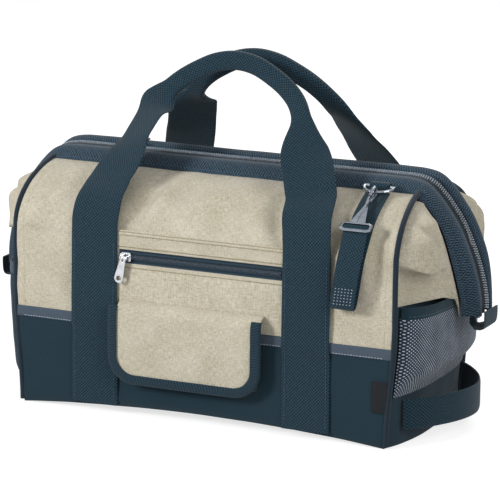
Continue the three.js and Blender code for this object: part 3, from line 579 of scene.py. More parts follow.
# Long walls: boot, canvas that runs on over the shoulder to the mouth, seam band
FRONT_FOLDS = [(-160, 214, 70, 26, 9, 4), (-182, 196, 60, 24, 8, 3.4), (-70, 206, 70, 28, 10, -10),
               (-50, 214, 56, 30, 8, 6), (-20, 206, 158, 34, 10, 4), (8, 222, 16, 34, 8, 5),
               (36, 214, 24, 30, 8, -6), (56, 222, 34, 28, 8, 6.5), (76, 202, 116, 24, 9, -7),
               (143, 206, 84, 24, 8, -6), (184, 178, 92, 44, 10, -9), (170, 186, 96, 40, 8, 4),
               (-150, 150, 82, 34, 9, 2.4), (-178, 130, 98, 30, 9, 2.2)]
REAR_FOLDS = [(-170, 206, 112, 24, 9, 4), (150, 210, 74, 26, 9, 4.4), (-30, 210, 24, 30, 10, 5),
              (40, 150, 88, 44, 11, 3.2), (-60, 140, 100, 40, 11, 3.2), (10, 206, 150, 28, 9, -4.4),
              (-78, 208, 60, 24, 9, -7), (74, 212, 128, 24, 9, -6), (182, 160, 92, 44, 10, -6.4)]
BOOT_FOLDS = [(-60, 18, 4, 60, 9, 1.1), (20, 26, -3, 70, 10, -0.9)]
CANVAS_FOOT, CANVAS_RISE, SHOULDER_RUN, SHOULDER_END = 90.0, 91.0, 92.0, 0.985
WALL_CLOTH, CANVAS_CLOTH, TAPE_CLOTH = 2.4, 1.6, 0.9


def wall_push(side, x, z):
    """How far the cloth of a long wall stands out of its flat face, in millimetres."""
    belly = 1.4 * max(0.0, 1 - (x / 205) ** 2) * math.sin(math.pi * min(max(z / 190, 0.0), 1.0))
    soft = 0.9 * ripple(x, side * 40, z, 52, 1) + 0.4 * ripple(x, side * 40, z, 21, 2)
    push = belly + soft - side * folds(x, z, BOOT_FOLDS)
    if side < 0:
        push *= 1 - 0.92 * (1 - smoothstep(abs(x), 88, 104)) * window(z, 92, 106, 178, 192)
    return push


def wall_point(side, x, z, lift=0.0):
    return Vector((x, side * (HALF_DEPTH + wall_push(side, x, z) + lift), z))


def shoulder_push(side, x, z):
    return (folds(x, z, FRONT_FOLDS if side < 0 else REAR_FOLDS)
            + 2.4 * ripple(x, side * 30, z * 1.3, 38, 5) + 0.5 * ripple(x, side * 30, z, 15, 6))


def canvas_point(side, u, v):
    """A point of the long canvas: v runs from the seam band up the wall and over the shoulder."""
    run = v * (CANVAS_RISE + SHOULDER_RUN)
    if run < CANVAS_RISE:
        z = lerp(CANVAS_FOOT, SHOULDER_Z, run / CANVAS_RISE)
        x = (2 * u - 1) * corner_x(z)
        fade = smoothstep(z, 160, 186)
        wide = 1 - smoothstep(abs(x), 92, 108) if side < 0 else 0
        loose = shoulder_push(side, x, z) * max(fade, 1 - wide) * smoothstep(z, 100, 118)
        return Vector((x, side * (HALF_DEPTH + wall_push(side, x, z) * (1 - fade) + loose * 0.7), z))
    t = (run - CANVAS_RISE) / SHOULDER_RUN
    y, z = shoulder_curve(t * SHOULDER_END)
    ny, nz = shoulder_normal(t * SHOULDER_END)
    x = (2 * u - 1) * shoulder_half(t)
    hem = 1 - smoothstep(t, 0.82, 1.0)
    push = (shoulder_push(side, x, z) * 0.9 + 1.0) * (0.15 + 0.85 * hem)
    push *= 0.35 + 0.65 * (1 - smoothstep(abs(x), shoulder_half(t) - 14, shoulder_half(t)))
    tuck = 4.5 * smoothstep(t, 0.93, 1.0)
    return Vector((x, side * (y + ny * push - tuck), z + nz * push))


def long_wall(side, name):
    out = Vector((0, side, 0))

    def boot_place(u, v):
        x = (2 * u - 1) * corner_x(v * BOOT_TOP)
        z = lerp(arch_at(x) + 0.4, BOOT_TOP + 1.6, v)
        return wall_point(side, x, z, -1.8 * (1 - smoothstep(z - arch_at(x), 0, 7)))

    def band_place(u, v):
        return wall_point(side, (2 * u - 1) * corner_x(94), lerp(BAND_LOW + 0.3, BAND_HIGH, v),
                          1.0 + 0.25 * math.sin(math.pi * v))

    boot = cloth(f"{name}_boot_cloth", 110, 26, boot_place, (0.4, 0.09), WALL_CLOTH, out)
    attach(dress(boot, BOOT, "boot_navy", f"{name}_boot_panel"), "shell")
    canvas = cloth(f"{name}_canvas", 130, 60, lambda u, v: canvas_point(side, u, v), (0.4, 0.183), CANVAS_CLOTH,
                   lambda p: Vector((0, p.y, (p.z - 0.15) * 2)))
    dress(canvas, CANVAS, "canvas_beige", f"{name}_canvas_panel", f"{name}_upper_panel")
    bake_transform(canvas)
    band = cloth(f"{name}_seam_tape", 110, 4, band_place, (0.4, 0.011), TAPE_CLOTH, out)
    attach(dress(band, SLATE, "band_slate", f"{name}_seam_band"), "shell")


for side, name in LONG_SIDES:
    long_wall(side, name)


# Base: a cloth floor that follows the arched long edges
def floor_place(u, v):
    y = (2 * v - 1) * END_HALF
    x = (2 * u - 1) * (end_x(y, 0) - 3.2)
    return Vector((x, y, underside(x, y) + 0.25 * (1 + ripple(x, y, 0, 30, 9)) * (abs(y) > KEEL_HALF)))


floor_cloth = cloth("bottom_cloth", 80, 40, floor_place, (0.39, 0.19), 2.6, Vector((0, 0, -1)))
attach(dress(floor_cloth, BOOT, "boot_navy", "bottom_panel"), "shell")

# End walls with their pockets
POCKET_WIDE, POCKET_EDGE, POCKET_CREST = 92.0, 128.0, 139.0
# Each pocket: its end, its foot and its name
END_POCKETS = ((1, 50, "mesh_pocket"), (-1, 10, "left_pocket"))


def end_point(side, y, z, lift=0.0):
    push = 0.8 * ripple(side * 60, y, z, 40, 11) + 0.35 * ripple(side * 60, y, z, 16, 12)
    return Vector((side * (end_x(y, z) + push + lift), y, z))


def end_wall(side, name):
    panel = cloth(f"{name}_end_cloth", 50, 40, lambda u, v: end_point(
        side, (2 * u - 1) * END_HALF, lerp(0.6, END_TOP, v), -0.4), (0.19, 0.14), WALL_CLOTH, Vector((side, 0, 0)))
    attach(dress(panel, BOOT, "boot_navy", f"{name}_end_panel"), "shell")


for side, name in ENDS:
    end_wall(side, name)


def pocket_top(y, top):
    """The open edge of a pocket hangs a little in the middle."""
    return top - 2.2 * (1 - (y / POCKET_WIDE) ** 2)


def pocket_point(side, foot, y, z, lift=0.0):
    """A point on the bellied face of an end pocket."""
    belly = math.sqrt(max(0.0, 1 - (y / POCKET_WIDE) ** 8))
    sag = belly * folds(y, z, [(18, POCKET_CREST - 16, 10, 40, 12, 2.0), (-34, POCKET_CREST - 26, -20, 30, 10, -2.2)])
    return end_point(side, y, z, 1.9 + 13 * belly * smoothstep(z, foot, foot + 26) + sag + lift)


def end_pocket(side, foot, name, net, edge):
    """The pocket's cloth and its binding: each has a piece name, a material, a slot and a node."""
    def cloth_place(u, v):
        y = (2 * u - 1) * POCKET_WIDE
        return pocket_point(side, foot, y, lerp(foot, pocket_top(y, POCKET_EDGE), v))

    def binding_place(u, v):
        y = (2 * u - 1) * POCKET_WIDE
        z = lerp(pocket_top(y, POCKET_EDGE - 0.7), pocket_top(y, END_TOP), v)
        return pocket_point(side, foot, y, z, 0.5 + 0.5 * math.sin(math.pi * v))

    for (piece, *look), rows, place, height, thickness, bevel in (
            (net, 36, cloth_place, MM * (POCKET_EDGE - foot), 0.9, 0.2), (edge, 6, binding_place, 0.0117, 2.0, 0.5)):
        obj = cloth(f"{name}_{piece}", 60, rows, place, (0.19, height), thickness, Vector((side, 0, 0)), bevel)
        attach(dress(obj, *look), "shell")


end_pocket(*END_POCKETS[0], ("net", NET_CLOTH, "pocket_mesh", "mesh_pocket"),
           ("tape", BOOT, "boot_navy", "mesh_pocket_binding"))
end_pocket(*END_POCKETS[1], ("cloth", BOOT, "boot_navy", "left_end_pocket"),
           ("tape", SLATE, "band_slate", "left_pocket_binding"))

# Mouth: stops along the ridge of the right half, as shares of the tail reach, of the height over the tail foot,
# of how far the band's outer edge lies under the ridge and of how far that edge lies from the zip line
TAIL_REACH, TAIL_FOOT, MOUTH_TOP, BAND_DROP, BAND_REACH = 257.0, HINGE_Z + 0.6, 247.5, 17.5, 33.0
RIDGE_SHARES = [(0, 1, 0.63, 1), (0.233, 1, 0.63, 1), (0.467, 1, 0.64, 1), (0.642, 1, 0.66, 1),
                (0.72, 0.996, 0.68, 1), (0.774, 0.968, 0.62, 1.03), (0.817, 0.897, 0.5, 1.03),
                (0.866, 0.78, 0.46, 1), (0.907, 0.655, 0.55, 0.97), (0.949, 0.47, 0.74, 0.91),
                (0.978, 0.3, 0.9, 0.79), (0.995, 0.147, 0.97, 0.67), (1, 0, 1, 0.576)]
RIDGE = [(TAIL_REACH * reach, lerp(TAIL_FOOT, MOUTH_TOP, rise) - 0.5 * max(0.0, 1 - reach / 0.6), BAND_DROP * drop,
          BAND_REACH * width) for reach, rise, drop, width in RIDGE_SHARES]
MOUTH_STOPS = [(-x, z, drop, reach) for x, z, drop, reach in RIDGE[:0:-1]] + RIDGE
STEPS_PER_STOP = 40
MOUTH_TABLE = [spline_row(MOUTH_STOPS, n / STEPS_PER_STOP) for n in range(STEPS_PER_STOP * (len(MOUTH_STOPS) - 1) + 1)]
MOUTH_LENGTHS = running_lengths([row[:2] for row in MOUTH_TABLE])
MOUTH_LENGTH = MOUTH_LENGTHS[-1]
BAND_INNER = 10.0
BAND_ROWS = {
    -1: [(0.0, -0.6), (0.06, 0.7), (0.2, 1.3), (0.36, 1.2), (0.52, 0.2), (0.7, -1.9), (0.86, -4.9), (1.0, -9.0)],
    1: [(0.0, 0.2), (0.06, 2.4), (0.2, 4.4), (0.36, 5.2), (0.52, 4.4), (0.7, 1.6), (0.86, -3.4), (1.0, -9.0)]}


def mouth_at(run):
    """Position, outward direction, drop and reach at a distance along the zip line from the left tail."""
    run = min(max(run, 0.0), MOUTH_LENGTH)
    low = min(bisect_right(MOUTH_LENGTHS, run) - 1, len(MOUTH_TABLE) - 2)
    t = (run - MOUTH_LENGTHS[low]) / (MOUTH_LENGTHS[low + 1] - MOUTH_LENGTHS[low])
    x, z, drop, reach = mix(tuple(MOUTH_TABLE[low]), MOUTH_TABLE[low + 1], t)
    c, d = MOUTH_TABLE[max(low - 6, 0)], MOUTH_TABLE[min(low + 7, len(MOUTH_TABLE) - 1)]
    along = Vector((d[0] - c[0], 0, d[1] - c[1])).normalized()
    return Vector((x, 0, z)), Vector((-along.z, 0, along.x)), drop, reach


def mouth_point(side, run, across, height):
    centre, up, _, _ = mouth_at(run)
    return centre + up * height + Vector((0, side * across, 0))


def band_profile(side, share, drop, reach):
    """The rear band stands a little higher beside the zip than the front one, and both lie flat at the tails."""
    rows = BAND_ROWS[side]
    a, h = spline_row(rows, share * (len(rows) - 1))
    if h > 0:
        h *= lerp(0.3, 1.0, smoothstep(reach, BAND_REACH * 0.62, BAND_REACH * 0.93))
    return lerp(BAND_INNER, reach, a), h - (drop - 9) * smoothstep(a, 0.45, 1.0)


def band_point(side, run, share, lift=0.0):
    """A point on the padded band, which is a little crumpled between its edges."""
    _, _, drop, reach = mouth_at(run)
    across, height = band_profile(side, share, drop, reach)
    wave = 0.35 * ripple(run, side * 9, share * 30, 34, 21) * math.sin(math.pi * share)
    return mouth_point(side, run, across, height + lift + wave)


def mouth_half(side, name):
    def outward(p):
        return Vector((p.x * 0.4, 0, p.z - 0.12))

    def tape_place(u, v):
        return mouth_point(side, lerp(2, MOUTH_LENGTH - 2, u), lerp(3.4, 13.2, v), 0.5 - 1.6 * v)

    cover = cloth(f"{name}_mouth_cover", 260, 21, lambda u, v: band_point(side, u * MOUTH_LENGTH, v),
                  (MOUTH_LENGTH * MM, 0.03), 1.8, outward, bevel=0.6)
    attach(dress(cover, TWILL, "band_navy", f"{name}_mouth_band"), f"mouth_{name}")
    tape = cloth(f"{name}_zip_tape", 220, 3, tape_place, (MOUTH_LENGTH * MM, 0.01), 0.8, outward, bevel=0.0)
    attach(dress(tape, ZIP_TAPE, "zip_black"), f"mouth_{name}")


for side, name in LONG_SIDES:
    mouth_half(side, name)


def repeated(name, unit, places):
    """One mesh from a small unit mesh copied to every place: a place is a 4x4 matrix in metres."""
    vertices, faces = [], []
    points = [v.co.copy() for v in unit.vertices]
    polygons = [tuple(p.vertices) for p in unit.polygons]
    for matrix in places:
        base = len(vertices)
        vertices.extend(matrix @ p for p in points)
        faces.extend(tuple(base + n for n in polygon) for polygon in polygons)
    mesh = bpy.data.meshes.new(name)
    mesh.from_pydata(vertices, [], faces)
    mesh.update()
    obj = link(name, mesh)
    smooth_faces(obj, 60)
    return obj


def frame_matrix(origin, *axes):
    matrix = Matrix(axes).transposed().to_4x4()
    matrix.translation = origin * MM
    return matrix


def unit_mesh(name, radii, segments, rings, flatten):
    """A small rounded bar centred on the origin, in millimetres: the unit of a repeated detail."""
    deselect()
    bpy.ops.mesh.primitive_uv_sphere_add(segments=segments, ring_count=rings, radius=1)
    obj = bpy.context.object
    for vertex in obj.data.vertices:
        x, y, z = vertex.co
        vertex.co = Vector((math.copysign(abs(x) ** flatten, x), y, z)) * Vector(radii) * MM
    mesh = obj.data.copy()
    mesh.name = name
    bpy.data.objects.remove(obj, do_unlink=True)
    return mesh


# Coil of the main zip: the turns of the two sides lie between each other, and their light grey is painted highlight
COIL_PITCH, COIL_ACROSS, COIL_HEIGHT = 2.4, 2.35, 1.2
COIL_TURN = unit_mesh("coil_turn", (0.66, 2.3, 1.3), 8, 6, 0.8)
for side, name in LONG_SIDES:
    turns = []
    for n in range(int((MOUTH_LENGTH - 6) / COIL_PITCH)):
        centre, up, _, _ = mouth_at(3 + (n + (0.5 if side > 0 else 0.0)) * COIL_PITCH)
        turns.append(frame_matrix(centre + up * COIL_HEIGHT + Vector((0, side * COIL_ACROSS, 0)),
                                  (up.z, 0, -up.x), (0, 1, 0), up))
    coil = repeated(f"{name}_zip_coil", COIL_TURN, turns)
    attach(dress(coil, COIL_PAINTED_HIGHLIGHT, "zip_black", f"main_zip_{name}"), f"mouth_{name}")


# Pipings in the four corner seams
def poly_line(curve, points, cyclic=False):
    line = curve.splines.new("POLY")
    line.points.add(len(points) - 1)
    line.use_cyclic_u = cyclic
    for point, place in zip(line.points, points):
        point.co = (*(place * MM), 1)


def curve_piece(name, curve):
    """The mesh piece that a curve gives with its thickness."""
    activate(link(name, curve))
    bpy.ops.object.convert(target="MESH")
    obj = bpy.context.object
    obj.data.name = name
    return obj


def tube(name, path, radius):
    curve = bpy.data.curves.new(name, "CURVE")
    curve.dimensions = "3D"
    curve.bevel_depth = radius * MM
    curve.bevel_resolution = 2
    curve.use_fill_caps = True
    poly_line(curve, path)
    obj = curve_piece(name, curve)
    lay_uv(obj.data, lambda vertex: (vertex.co.x + vertex.co.y, vertex.co.z + vertex.co.y * 0.5))
    smooth_faces(obj, 60)
    return obj


def corner_route(side, depth):
    """Up the corner, over the shoulder and in under the mouth band."""
    for n in range(25):
        z = lerp(3.0, SHOULDER_Z, n / 24)
        inset = 1.0 - 0.4 * ripple(side, depth, z, 30, 15)
        yield Vector((side * (corner_x(z) + 1.5), depth * (HALF_DEPTH - inset), z))
    for n in range(1, 20):
        y, z = shoulder_curve(n / 20)
        yield Vector((side * (shoulder_half(n / 20) + 1.5), depth * (y - 0.6), z))
    yield Vector((side * (UPPER_TOP_HALF + 2), depth * 33, UPPER_TOP + 0.4))
    yield Vector((side * (UPPER_TOP_HALF - 1), depth * 27, UPPER_TOP + 0.8))


PIPING_RADIUS = 2.8
for depth, name in LONG_SIDES:
    for side, end in ENDS[::-1]:
        piping = tube(f"{name}_{end}_corner_piping", list(corner_route(side, depth)), PIPING_RADIUS)
        dress(piping, PIPING, "webbing_navy", f"{name}_{end}_piping")
        depth * 0.1
        depth * 0.045
        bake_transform(piping)

# Gussets: a wing on each side of the zip tail, with the fold that hangs over the pocket
GUSSET_STOPS = RIDGE[:5:-1]
PLEATS = [(70, 204, 58, 34, 5, 3.4), (58, 200, 60, 34, 5, -4.2), (46, 198, 68, 30, 5, 3.4), (36, 196, 78, 26, 4, -3.0)]


def gusset_corner(v):
    z = lerp(END_TOP + 0.5, 233.5, v)
    if z < SHOULDER_Z:
        return Vector((corner_x(z) + 0.4, END_HALF - 1.8, z))
    t = shoulder_t(z + 2)
    y, z = shoulder_curve(t)
    ny, nz = shoulder_normal(t)
    return Vector((shoulder_half(t) + 0.4, y - ny * 4.5, z - nz * 4.5))


def gusset_edge(v):
    place = v * (len(GUSSET_STOPS) - 1)
    x, z, drop, reach = spline_row(GUSSET_STOPS, place)
    a, b = (spline_row(GUSSET_STOPS, place, shift) for shift in (-0.02, 0.02))
    along = Vector((b[0] - a[0], 0, b[1] - a[1])).normalized()
    up = Vector((along.z, 0, -along.x)) * math.copysign(1, along.z)
    return Vector((x, 0, z)) - up * (drop + 2.6) + Vector((0, reach - 1.5, 0))


def gusset_place(side, depth, u, v):
    a, b = gusset_corner(v), gusset_edge(v)
    low_share = max(0.0, 1 - 6 * v)
    y = lerp(a.y, b.y, u)
    z = lerp(a.z, b.z, u ** (1 + 22 * low_share))
    x = lerp(lerp(a.x, b.x, u ** 1.6), lerp(end_x(y, a.z), b.x, u ** 2), low_share)
    hold = math.sin(math.pi * u ** 0.7)
    full = smoothstep(z, 176 - 14 * u, 187 - 14 * u) * (1 - 0.85 * smoothstep(z, 214, 236))
    crease = 1.6 * ripple(side * 20, depth * y, z * 1.4, 24, 31) + 0.6 * ripple(side * 20, depth * y, z, 10, 32)
    recess = 6.5 * window(z, 142, 156, 172 - 14 * u, 183 - 14 * u)
    x += hold * (full * (19 + 1.4 * folds(y, z, PLEATS)) + crease * smoothstep(z, 142, 160) - recess)
    z -= 12 * hold * math.exp(-((z - 188 + 14 * u) / 8) ** 2)
    return Vector((side * x, depth * y, z))


for side, end in ENDS:
    for depth, name in LONG_SIDES:
        wing = cloth(f"{end}_{name}_gusset_wing", 40, 60, lambda u, v: gusset_place(side, depth, u, v),
                     (0.08, 0.12), 1.4, Vector((side, 0, 0)), bevel=0.2)
        dress(wing, CANVAS, "canvas_beige", f"{end}_gusset")
        depth * 0.09
        depth * 0.03
        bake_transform(wing)

# Handles and the straps that carry them: along the bag, out, up, and how far the handle is unrolled
HANDLE_HALF = [(0, 12, 347, 0), (20, 12.5, 344, 0), (38, 14.5, 336, 0.1), (56, 18, 325, 0.25), (70, 23.5, 312, 0.4),
               (80, 34, 296, 0.6), (88, 49, 277, 0.8), (97, 64.5, 256, 0.92), (104, 76, 240, 1)]
HANDLE_STOPS = [(-x, *rest) for x, *rest in HANDLE_HALF[:0:-1]] + HANDLE_HALF
HANDLE_SHARES = [share for *_, share in HANDLE_STOPS]
HANDLE_STEPS = 96
LEG_LEAN = 0.62
# Where each leg starts and ends to unroll, by the side of the handle and of its leg
LEG_ROLLS = {(-1, -1): (0.3, 0.52), (-1, 1): (0.42, 0.9), (1, -1): (0.4, 0.62), (1, 1): (0.3, 0.85)}
LEG_YAWS = {-1: math.radians(34), 1: math.radians(22)}
STRAP_X, STRAP_WIDTH, STRAP_THICKNESS = 113.0, 50.0, 2.4
STRAP_LIFTS = [(9, 1.5), (30, 1.5), (60, 1.5), (80, 1.6), (92, 3.0), (120, 2.9), (150, 2.9)]
sewn_straps = []


def carry_handle(depth, name):
    """The front handle leans a little to the left and the rear one lies further to the right."""
    spine = smooth_path([(x + (7.5 if depth > 0 else -4.0 * smoothstep(z, 245, 290)), depth * y, z)
                         for x, y, z, _ in HANDLE_STOPS], HANDLE_STEPS)
    along = directions(spine)

    def wide(n):
        leg = -1 if n < HANDLE_STEPS / 2 else 1
        share = sample(HANDLE_SHARES, n / HANDLE_STEPS)
        lean = LEG_LEAN * share
        yaw = LEG_YAWS[leg] * smoothstep(share, 0.3, 0.6) * (1 - 0.6 * smoothstep(share, 0.8, 1.0))
        return along[n].cross(Vector((leg * math.tan(yaw), depth * math.cos(lean), math.sin(lean)))).normalized()

    def openness(v):
        return smoothstep(sample(HANDLE_SHARES, v), *LEG_ROLLS[depth, -1 if v < 0.5 else 1])

    def foot_share(v):
        """1 at both feet of the handle, where it goes into the carrying webbing, and 0 away from them."""
        return smoothstep(abs(v - 0.5), 0.49, 0.5)

    handle = strap(f"{name}_carry_handle", spine, wide,
                   lambda v: lerp(19.0, STRAP_WIDTH, openness(v)) - 1.6 * foot_share(v),
                   lambda v: lerp(9.5, 2.5, openness(v) ** 0.8) - 1.1 * foot_share(v), rows=192, around=28)
    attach(dress(handle, WEBBING, "webbing_navy", f"{name}_handle"), f"handle_{name}")
    for (side, end), foot, after, foot_wide in zip(ENDS[::-1], (spine[0], spine[-1]), (spine[1], spine[-2]),
                                                   (wide(0), wide(HANDLE_STEPS))):
        webbing(depth, name, side, end, foot, (foot - after).normalized(), foot_wide * math.copysign(1, foot_wide.x))


def webbing(depth, name, side, end, foot, away, foot_wide):
    """A carrying strap, sewn to the wall and free over the shoulder up to the handle's foot."""
    route = [wall_point(depth, side * STRAP_X, z, lift) for z, lift in STRAP_LIFTS]
    route += [(side * STRAP_X, depth * 103.2, SHOULDER_Z), (side * 112.2, depth * 102.4, 200),
              (side * 109.5, depth * 95.5, 219), foot + away * 8, foot - away * 4.0]
    path = smooth_path(route, 110)
    web = strap(f"{name}_{end}_webbing", path,
                lambda n: Vector((1, 0, 0)).lerp(foot_wide, smoothstep(path[n].z, 205, 240)),
                STRAP_WIDTH, STRAP_THICKNESS, rows=160, around=24)
    dress(web, WEBBING, "webbing_navy", f"{name}_{end}_strap", f"{name}_{end}_riser")
    sewn_straps.append((f"{name}_{end}_strap_stitches", [p for p in path if 13 < p.z < 176], depth))
    depth * 0.1025
    depth * 0.078
    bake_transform(web)


for depth, name in LONG_SIDES:
    carry_handle(depth, name)

# Front zip pocket: a beige panel with a slot for its zip
POCKET_HALF, POCKET_TOP = 100.0, 187.0
ZIP_Z, ZIP_HALF = 161.0, 87.0
SLOT_LOW, SLOT_HIGH = 154.3, 167.7
# Rows on both lips of the slot, and columns on both of its ends
PANEL_ROWS = [99.6, 126, 150, SLOT_LOW, SLOT_HIGH, 172, 180, POCKET_TOP]
PANEL_COLUMNS = [(0.0, -POCKET_HALF), (0.1, -ZIP_HALF), (0.9, ZIP_HALF), (1.0, POCKET_HALF)]
POCKET_PITCH = 1.7


def pocket_panel_place(u, v):
    x, z = between(PANEL_COLUMNS, u), sample(PANEL_ROWS, v)
    if z > SHOULDER_Z:
        y, z = shoulder_curve((z - SHOULDER_Z) / SHOULDER_RUN)
        return Vector((x, -(y + 1.9), z + 0.3))
    loose = window(z, 104, 118, 140, 152)
    swell = 1.6 * loose * max(0.0, 1 - (x / POCKET_HALF) ** 2) + 0.7 * ripple(x, -40, z, 26, 41) * loose
    return wall_point(-1, x, z, 1.5 + swell)


panel = grid_piece("zip_pocket_cloth", 80, 42, pocket_panel_place, (0.2, 0.088))
activate(panel)
bpy.ops.object.mode_set(mode="EDIT")
sheet_mesh = bmesh.from_edit_mesh(panel.data)
for face in sheet_mesh.faces:
    centre = face.calc_center_median() / MM
    face.select = abs(centre.x) < ZIP_HALF - 0.2 and SLOT_LOW + 0.3 < centre.z < SLOT_HIGH - 0.3
bmesh.update_edit_mesh(panel.data)
bpy.ops.mesh.delete(type="FACE")
bpy.ops.object.mode_set(mode="OBJECT")
face_outwards(panel, FRONT)
thicken(panel, 1.1, bevel=0.45)
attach(dress(panel, CANVAS, "canvas_beige", "zip_pocket_panel"), "shell")

pocket_tape = cloth("pocket_zip_cloth", 60, 6, lambda u, v: wall_point(
    -1, lerp(-ZIP_HALF - 0.7, ZIP_HALF + 0.7, u), lerp(SLOT_LOW, SLOT_HIGH, v), 1.0), (0.174, 0.0134), 0.6,
    FRONT, bevel=0.0)
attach(dress(pocket_tape, POCKET_TAPE, "zip_black", "pocket_zip_tape"), "shell")
POCKET_TURN = unit_mesh("pocket_turn", (0.5, 1.5, 0.55), 8, 5, 0.8)
pocket_turns = [frame_matrix(Vector((-ZIP_HALF + 0.8 + n * POCKET_PITCH + 0.42 * row, -102.0, ZIP_Z + row * 0.9)),
                             (1, 0, 0), (0, 0, 1), FRONT)
                for n in range(int(2 * ZIP_HALF / POCKET_PITCH)) for row in (-1, 1)]
pocket_coil = repeated("pocket_zip_coil", POCKET_TURN, pocket_turns)
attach(dress(pocket_coil, DARK_COIL, "zip_black"), "shell")

# Pull of the pocket zip: a flat tongue with two eyes, hanging a little to the left
PULL_TOP, PULL_LENGTH, PULL_LEAN = Vector((-79.0, -107.6, 162.8)), 28.0, math.radians(13)
PULL_NECK, PULL_FOOT, PULL_EYE, PULL_BAIL = 2.6, 4.6, 2.7, 1.1


def arc(centre_x, centre_y, radius_x, radius_y, start, stop, steps):
    """Points on a turn round a centre, from one angle to another, in quarter turns."""
    angles = (math.pi / 2 * lerp(start, stop, n / steps) for n in range(steps + 1))
    return [(centre_x + radius_x * math.cos(a), centre_y + radius_y * math.sin(a)) for a in angles]


# Across and down the tongue: round top, widening sides and round foot, then the eye and the bail's slot
PULL_LOOPS = [arc(0, PULL_NECK, PULL_NECK, PULL_NECK, -2, 0, 12) + arc(
    0, PULL_LENGTH - PULL_FOOT, PULL_FOOT, PULL_FOOT, 0, 2, 12),
    arc(0, PULL_LENGTH - PULL_FOOT, PULL_EYE, PULL_EYE, 0, 4, 24)[:-1],
    arc(0, 4.4, PULL_BAIL, PULL_BAIL * 1.9, 0, 4, 24)[:-1]]
plate = bpy.data.curves.new("pocket_pull_plate", "CURVE")
plate.dimensions = "2D"
plate.fill_mode = "BOTH"
plate.extrude = 0.45 * MM
plate.bevel_depth = 0.2 * MM
plate.bevel_resolution = 2
for loop in PULL_LOOPS:
    poly_line(plate, [Vector((across, down, 0)) for across, down in loop], cyclic=True)
pull = curve_piece("pocket_pull_plate", plate)
c, s = math.cos(PULL_LEAN), math.sin(PULL_LEAN)
for vertex in pull.data.vertices:
    across, down, out = vertex.co
    vertex.co = PULL_TOP * MM + Vector((across * c - down * s, -out, -down * c - across * s))
pull.data.flip_normals()
smooth_faces(pull, 40)
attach(dress(pull, NICKEL, "nickel", "pocket_pull"), "pull_pocket")

# Patch pocket and its bound flap
PATCH_LEFT, PATCH_RIGHT, PATCH_FOOT, PATCH_TOP, PATCH_BEND = -86.8, 62.8, 41.0, 111.0, 5.0
FLAP_LEFT, FLAP_RIGHT, FLAP_FOOT, FLAP_RADIUS, FLAP_RUN, FLAP_TAPE_TOP = -92.0, 70.0, 37.0, 28.0, 86.4, 113.6
# The flap seen from the side, from its root down: how far it stands out, and its height
FLAP_ROOT = [(103.2, 118.0), (105.6, 117.6), (109.0, 116.0), (112.6, 112.6), (114.2, 108.0), (114.4, 102.0)]
FLAP_BEND = list(zip(running_lengths(FLAP_ROOT), FLAP_ROOT))
FLAP_FACE = [(z, y) for y, z in FLAP_ROOT[::-1]]


def patch_place(u, v):
    """The pocket's cloth runs round from the wall over its three raised sides, open at the top."""
    x, z = lerp(PATCH_LEFT, PATCH_RIGHT, u), lerp(PATCH_FOOT + 0.6, PATCH_TOP, v)
    side = min(x - PATCH_LEFT, PATCH_RIGHT - x)
    rise = smoothstep(side, 0, PATCH_BEND) ** 0.5 * smoothstep(z - PATCH_FOOT, 0, PATCH_BEND) ** 0.5
    soft = 0.3 * ripple(x, -20, z, 28, 51) * smoothstep(side, 6, 20)
    return Vector((x, -(102.2 + 8.2 * rise + soft), z))


patch = cloth("patch_pocket_cloth", 90, 50, patch_place, (0.16, 0.08), 1.2, FRONT, bevel=0.3)
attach(dress(patch, BOOT, "boot_navy", "front_patch_pocket"), "shell")


def flap_surface(x, z, y):
    middle = (x - (FLAP_LEFT + FLAP_RIGHT) / 2) / 80
    swell = 0.9 * (1 - middle ** 2) * math.sin(math.pi * min(max((z - FLAP_FOOT) / 76, 0), 1))
    return Vector((x, -(y + swell + 0.5 * ripple(x, 0, z, 30, 55)), z))


def flap_place(u, v):
    """The flap from its root down, drawn in at its rounded lower corners."""
    down = v * FLAP_RUN
    y, z = between(FLAP_BEND, down)
    z = max(z - max(0.0, down - FLAP_BEND[-1][0]), FLAP_FOOT + 0.2)
    over = max(0.0, FLAP_FOOT + FLAP_RADIUS - z)
    draw = FLAP_RADIUS - math.sqrt(max(0.0, FLAP_RADIUS ** 2 - over ** 2)) + 0.4
    root = 7.6 * (1 - smoothstep(down, 9, 17))
    return flap_surface(lerp(FLAP_LEFT + draw + root, FLAP_RIGHT - draw, u), z, y)


flap = cloth("flap_cloth", 70, 70, flap_place, (0.158, 0.086), 1.7, Vector((0, -1, 0.4)), bevel=0.4)
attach(dress(flap, CANVAS, "canvas_beige", "pocket_flap"), "flap")


def flap_edge(inset):
    """Points down the left side, round the corners and up the right side, at an inset from the edge."""
    left, right = FLAP_LEFT + inset, FLAP_RIGHT - inset
    radius, centre = FLAP_RADIUS - inset, FLAP_FOOT + FLAP_RADIUS
    points = [(left, lerp(FLAP_TAPE_TOP, centre, n / 16)) for n in range(17)]
    points += arc(left + radius, centre, radius, radius, -2, -1, 16)[1:]
    points += [(lerp(left + radius, right - radius, n / 30), centre - radius) for n in range(1, 31)]
    points += arc(right - radius, centre, radius, radius, -1, 0, 16)[1:]
    return points + [(right, lerp(centre, FLAP_TAPE_TOP, n / 16)) for n in range(1, 17)]


OUTER_EDGE, INNER_EDGE = flap_edge(-0.2), flap_edge(9.3)
# Tape folded round the flap's edge, from the back to the front: share of its width, and how far out
TAPE_TURN = [(1.0, 0.0), (0.35, 0.0), (0.04, 0.15), (0.0, 0.5), (0.04, 0.85), (0.3, 1.05), (0.65, 1.1), (1.0, 0.96)]


def binding_place(u, v):
    share, face = sample(TAPE_TURN, v)
    x, z = mix(sample(OUTER_EDGE, u), sample(INNER_EDGE, u), share)
    return flap_surface(x, z, between(FLAP_FACE, z) + lerp(-2.0, 1.0, face))


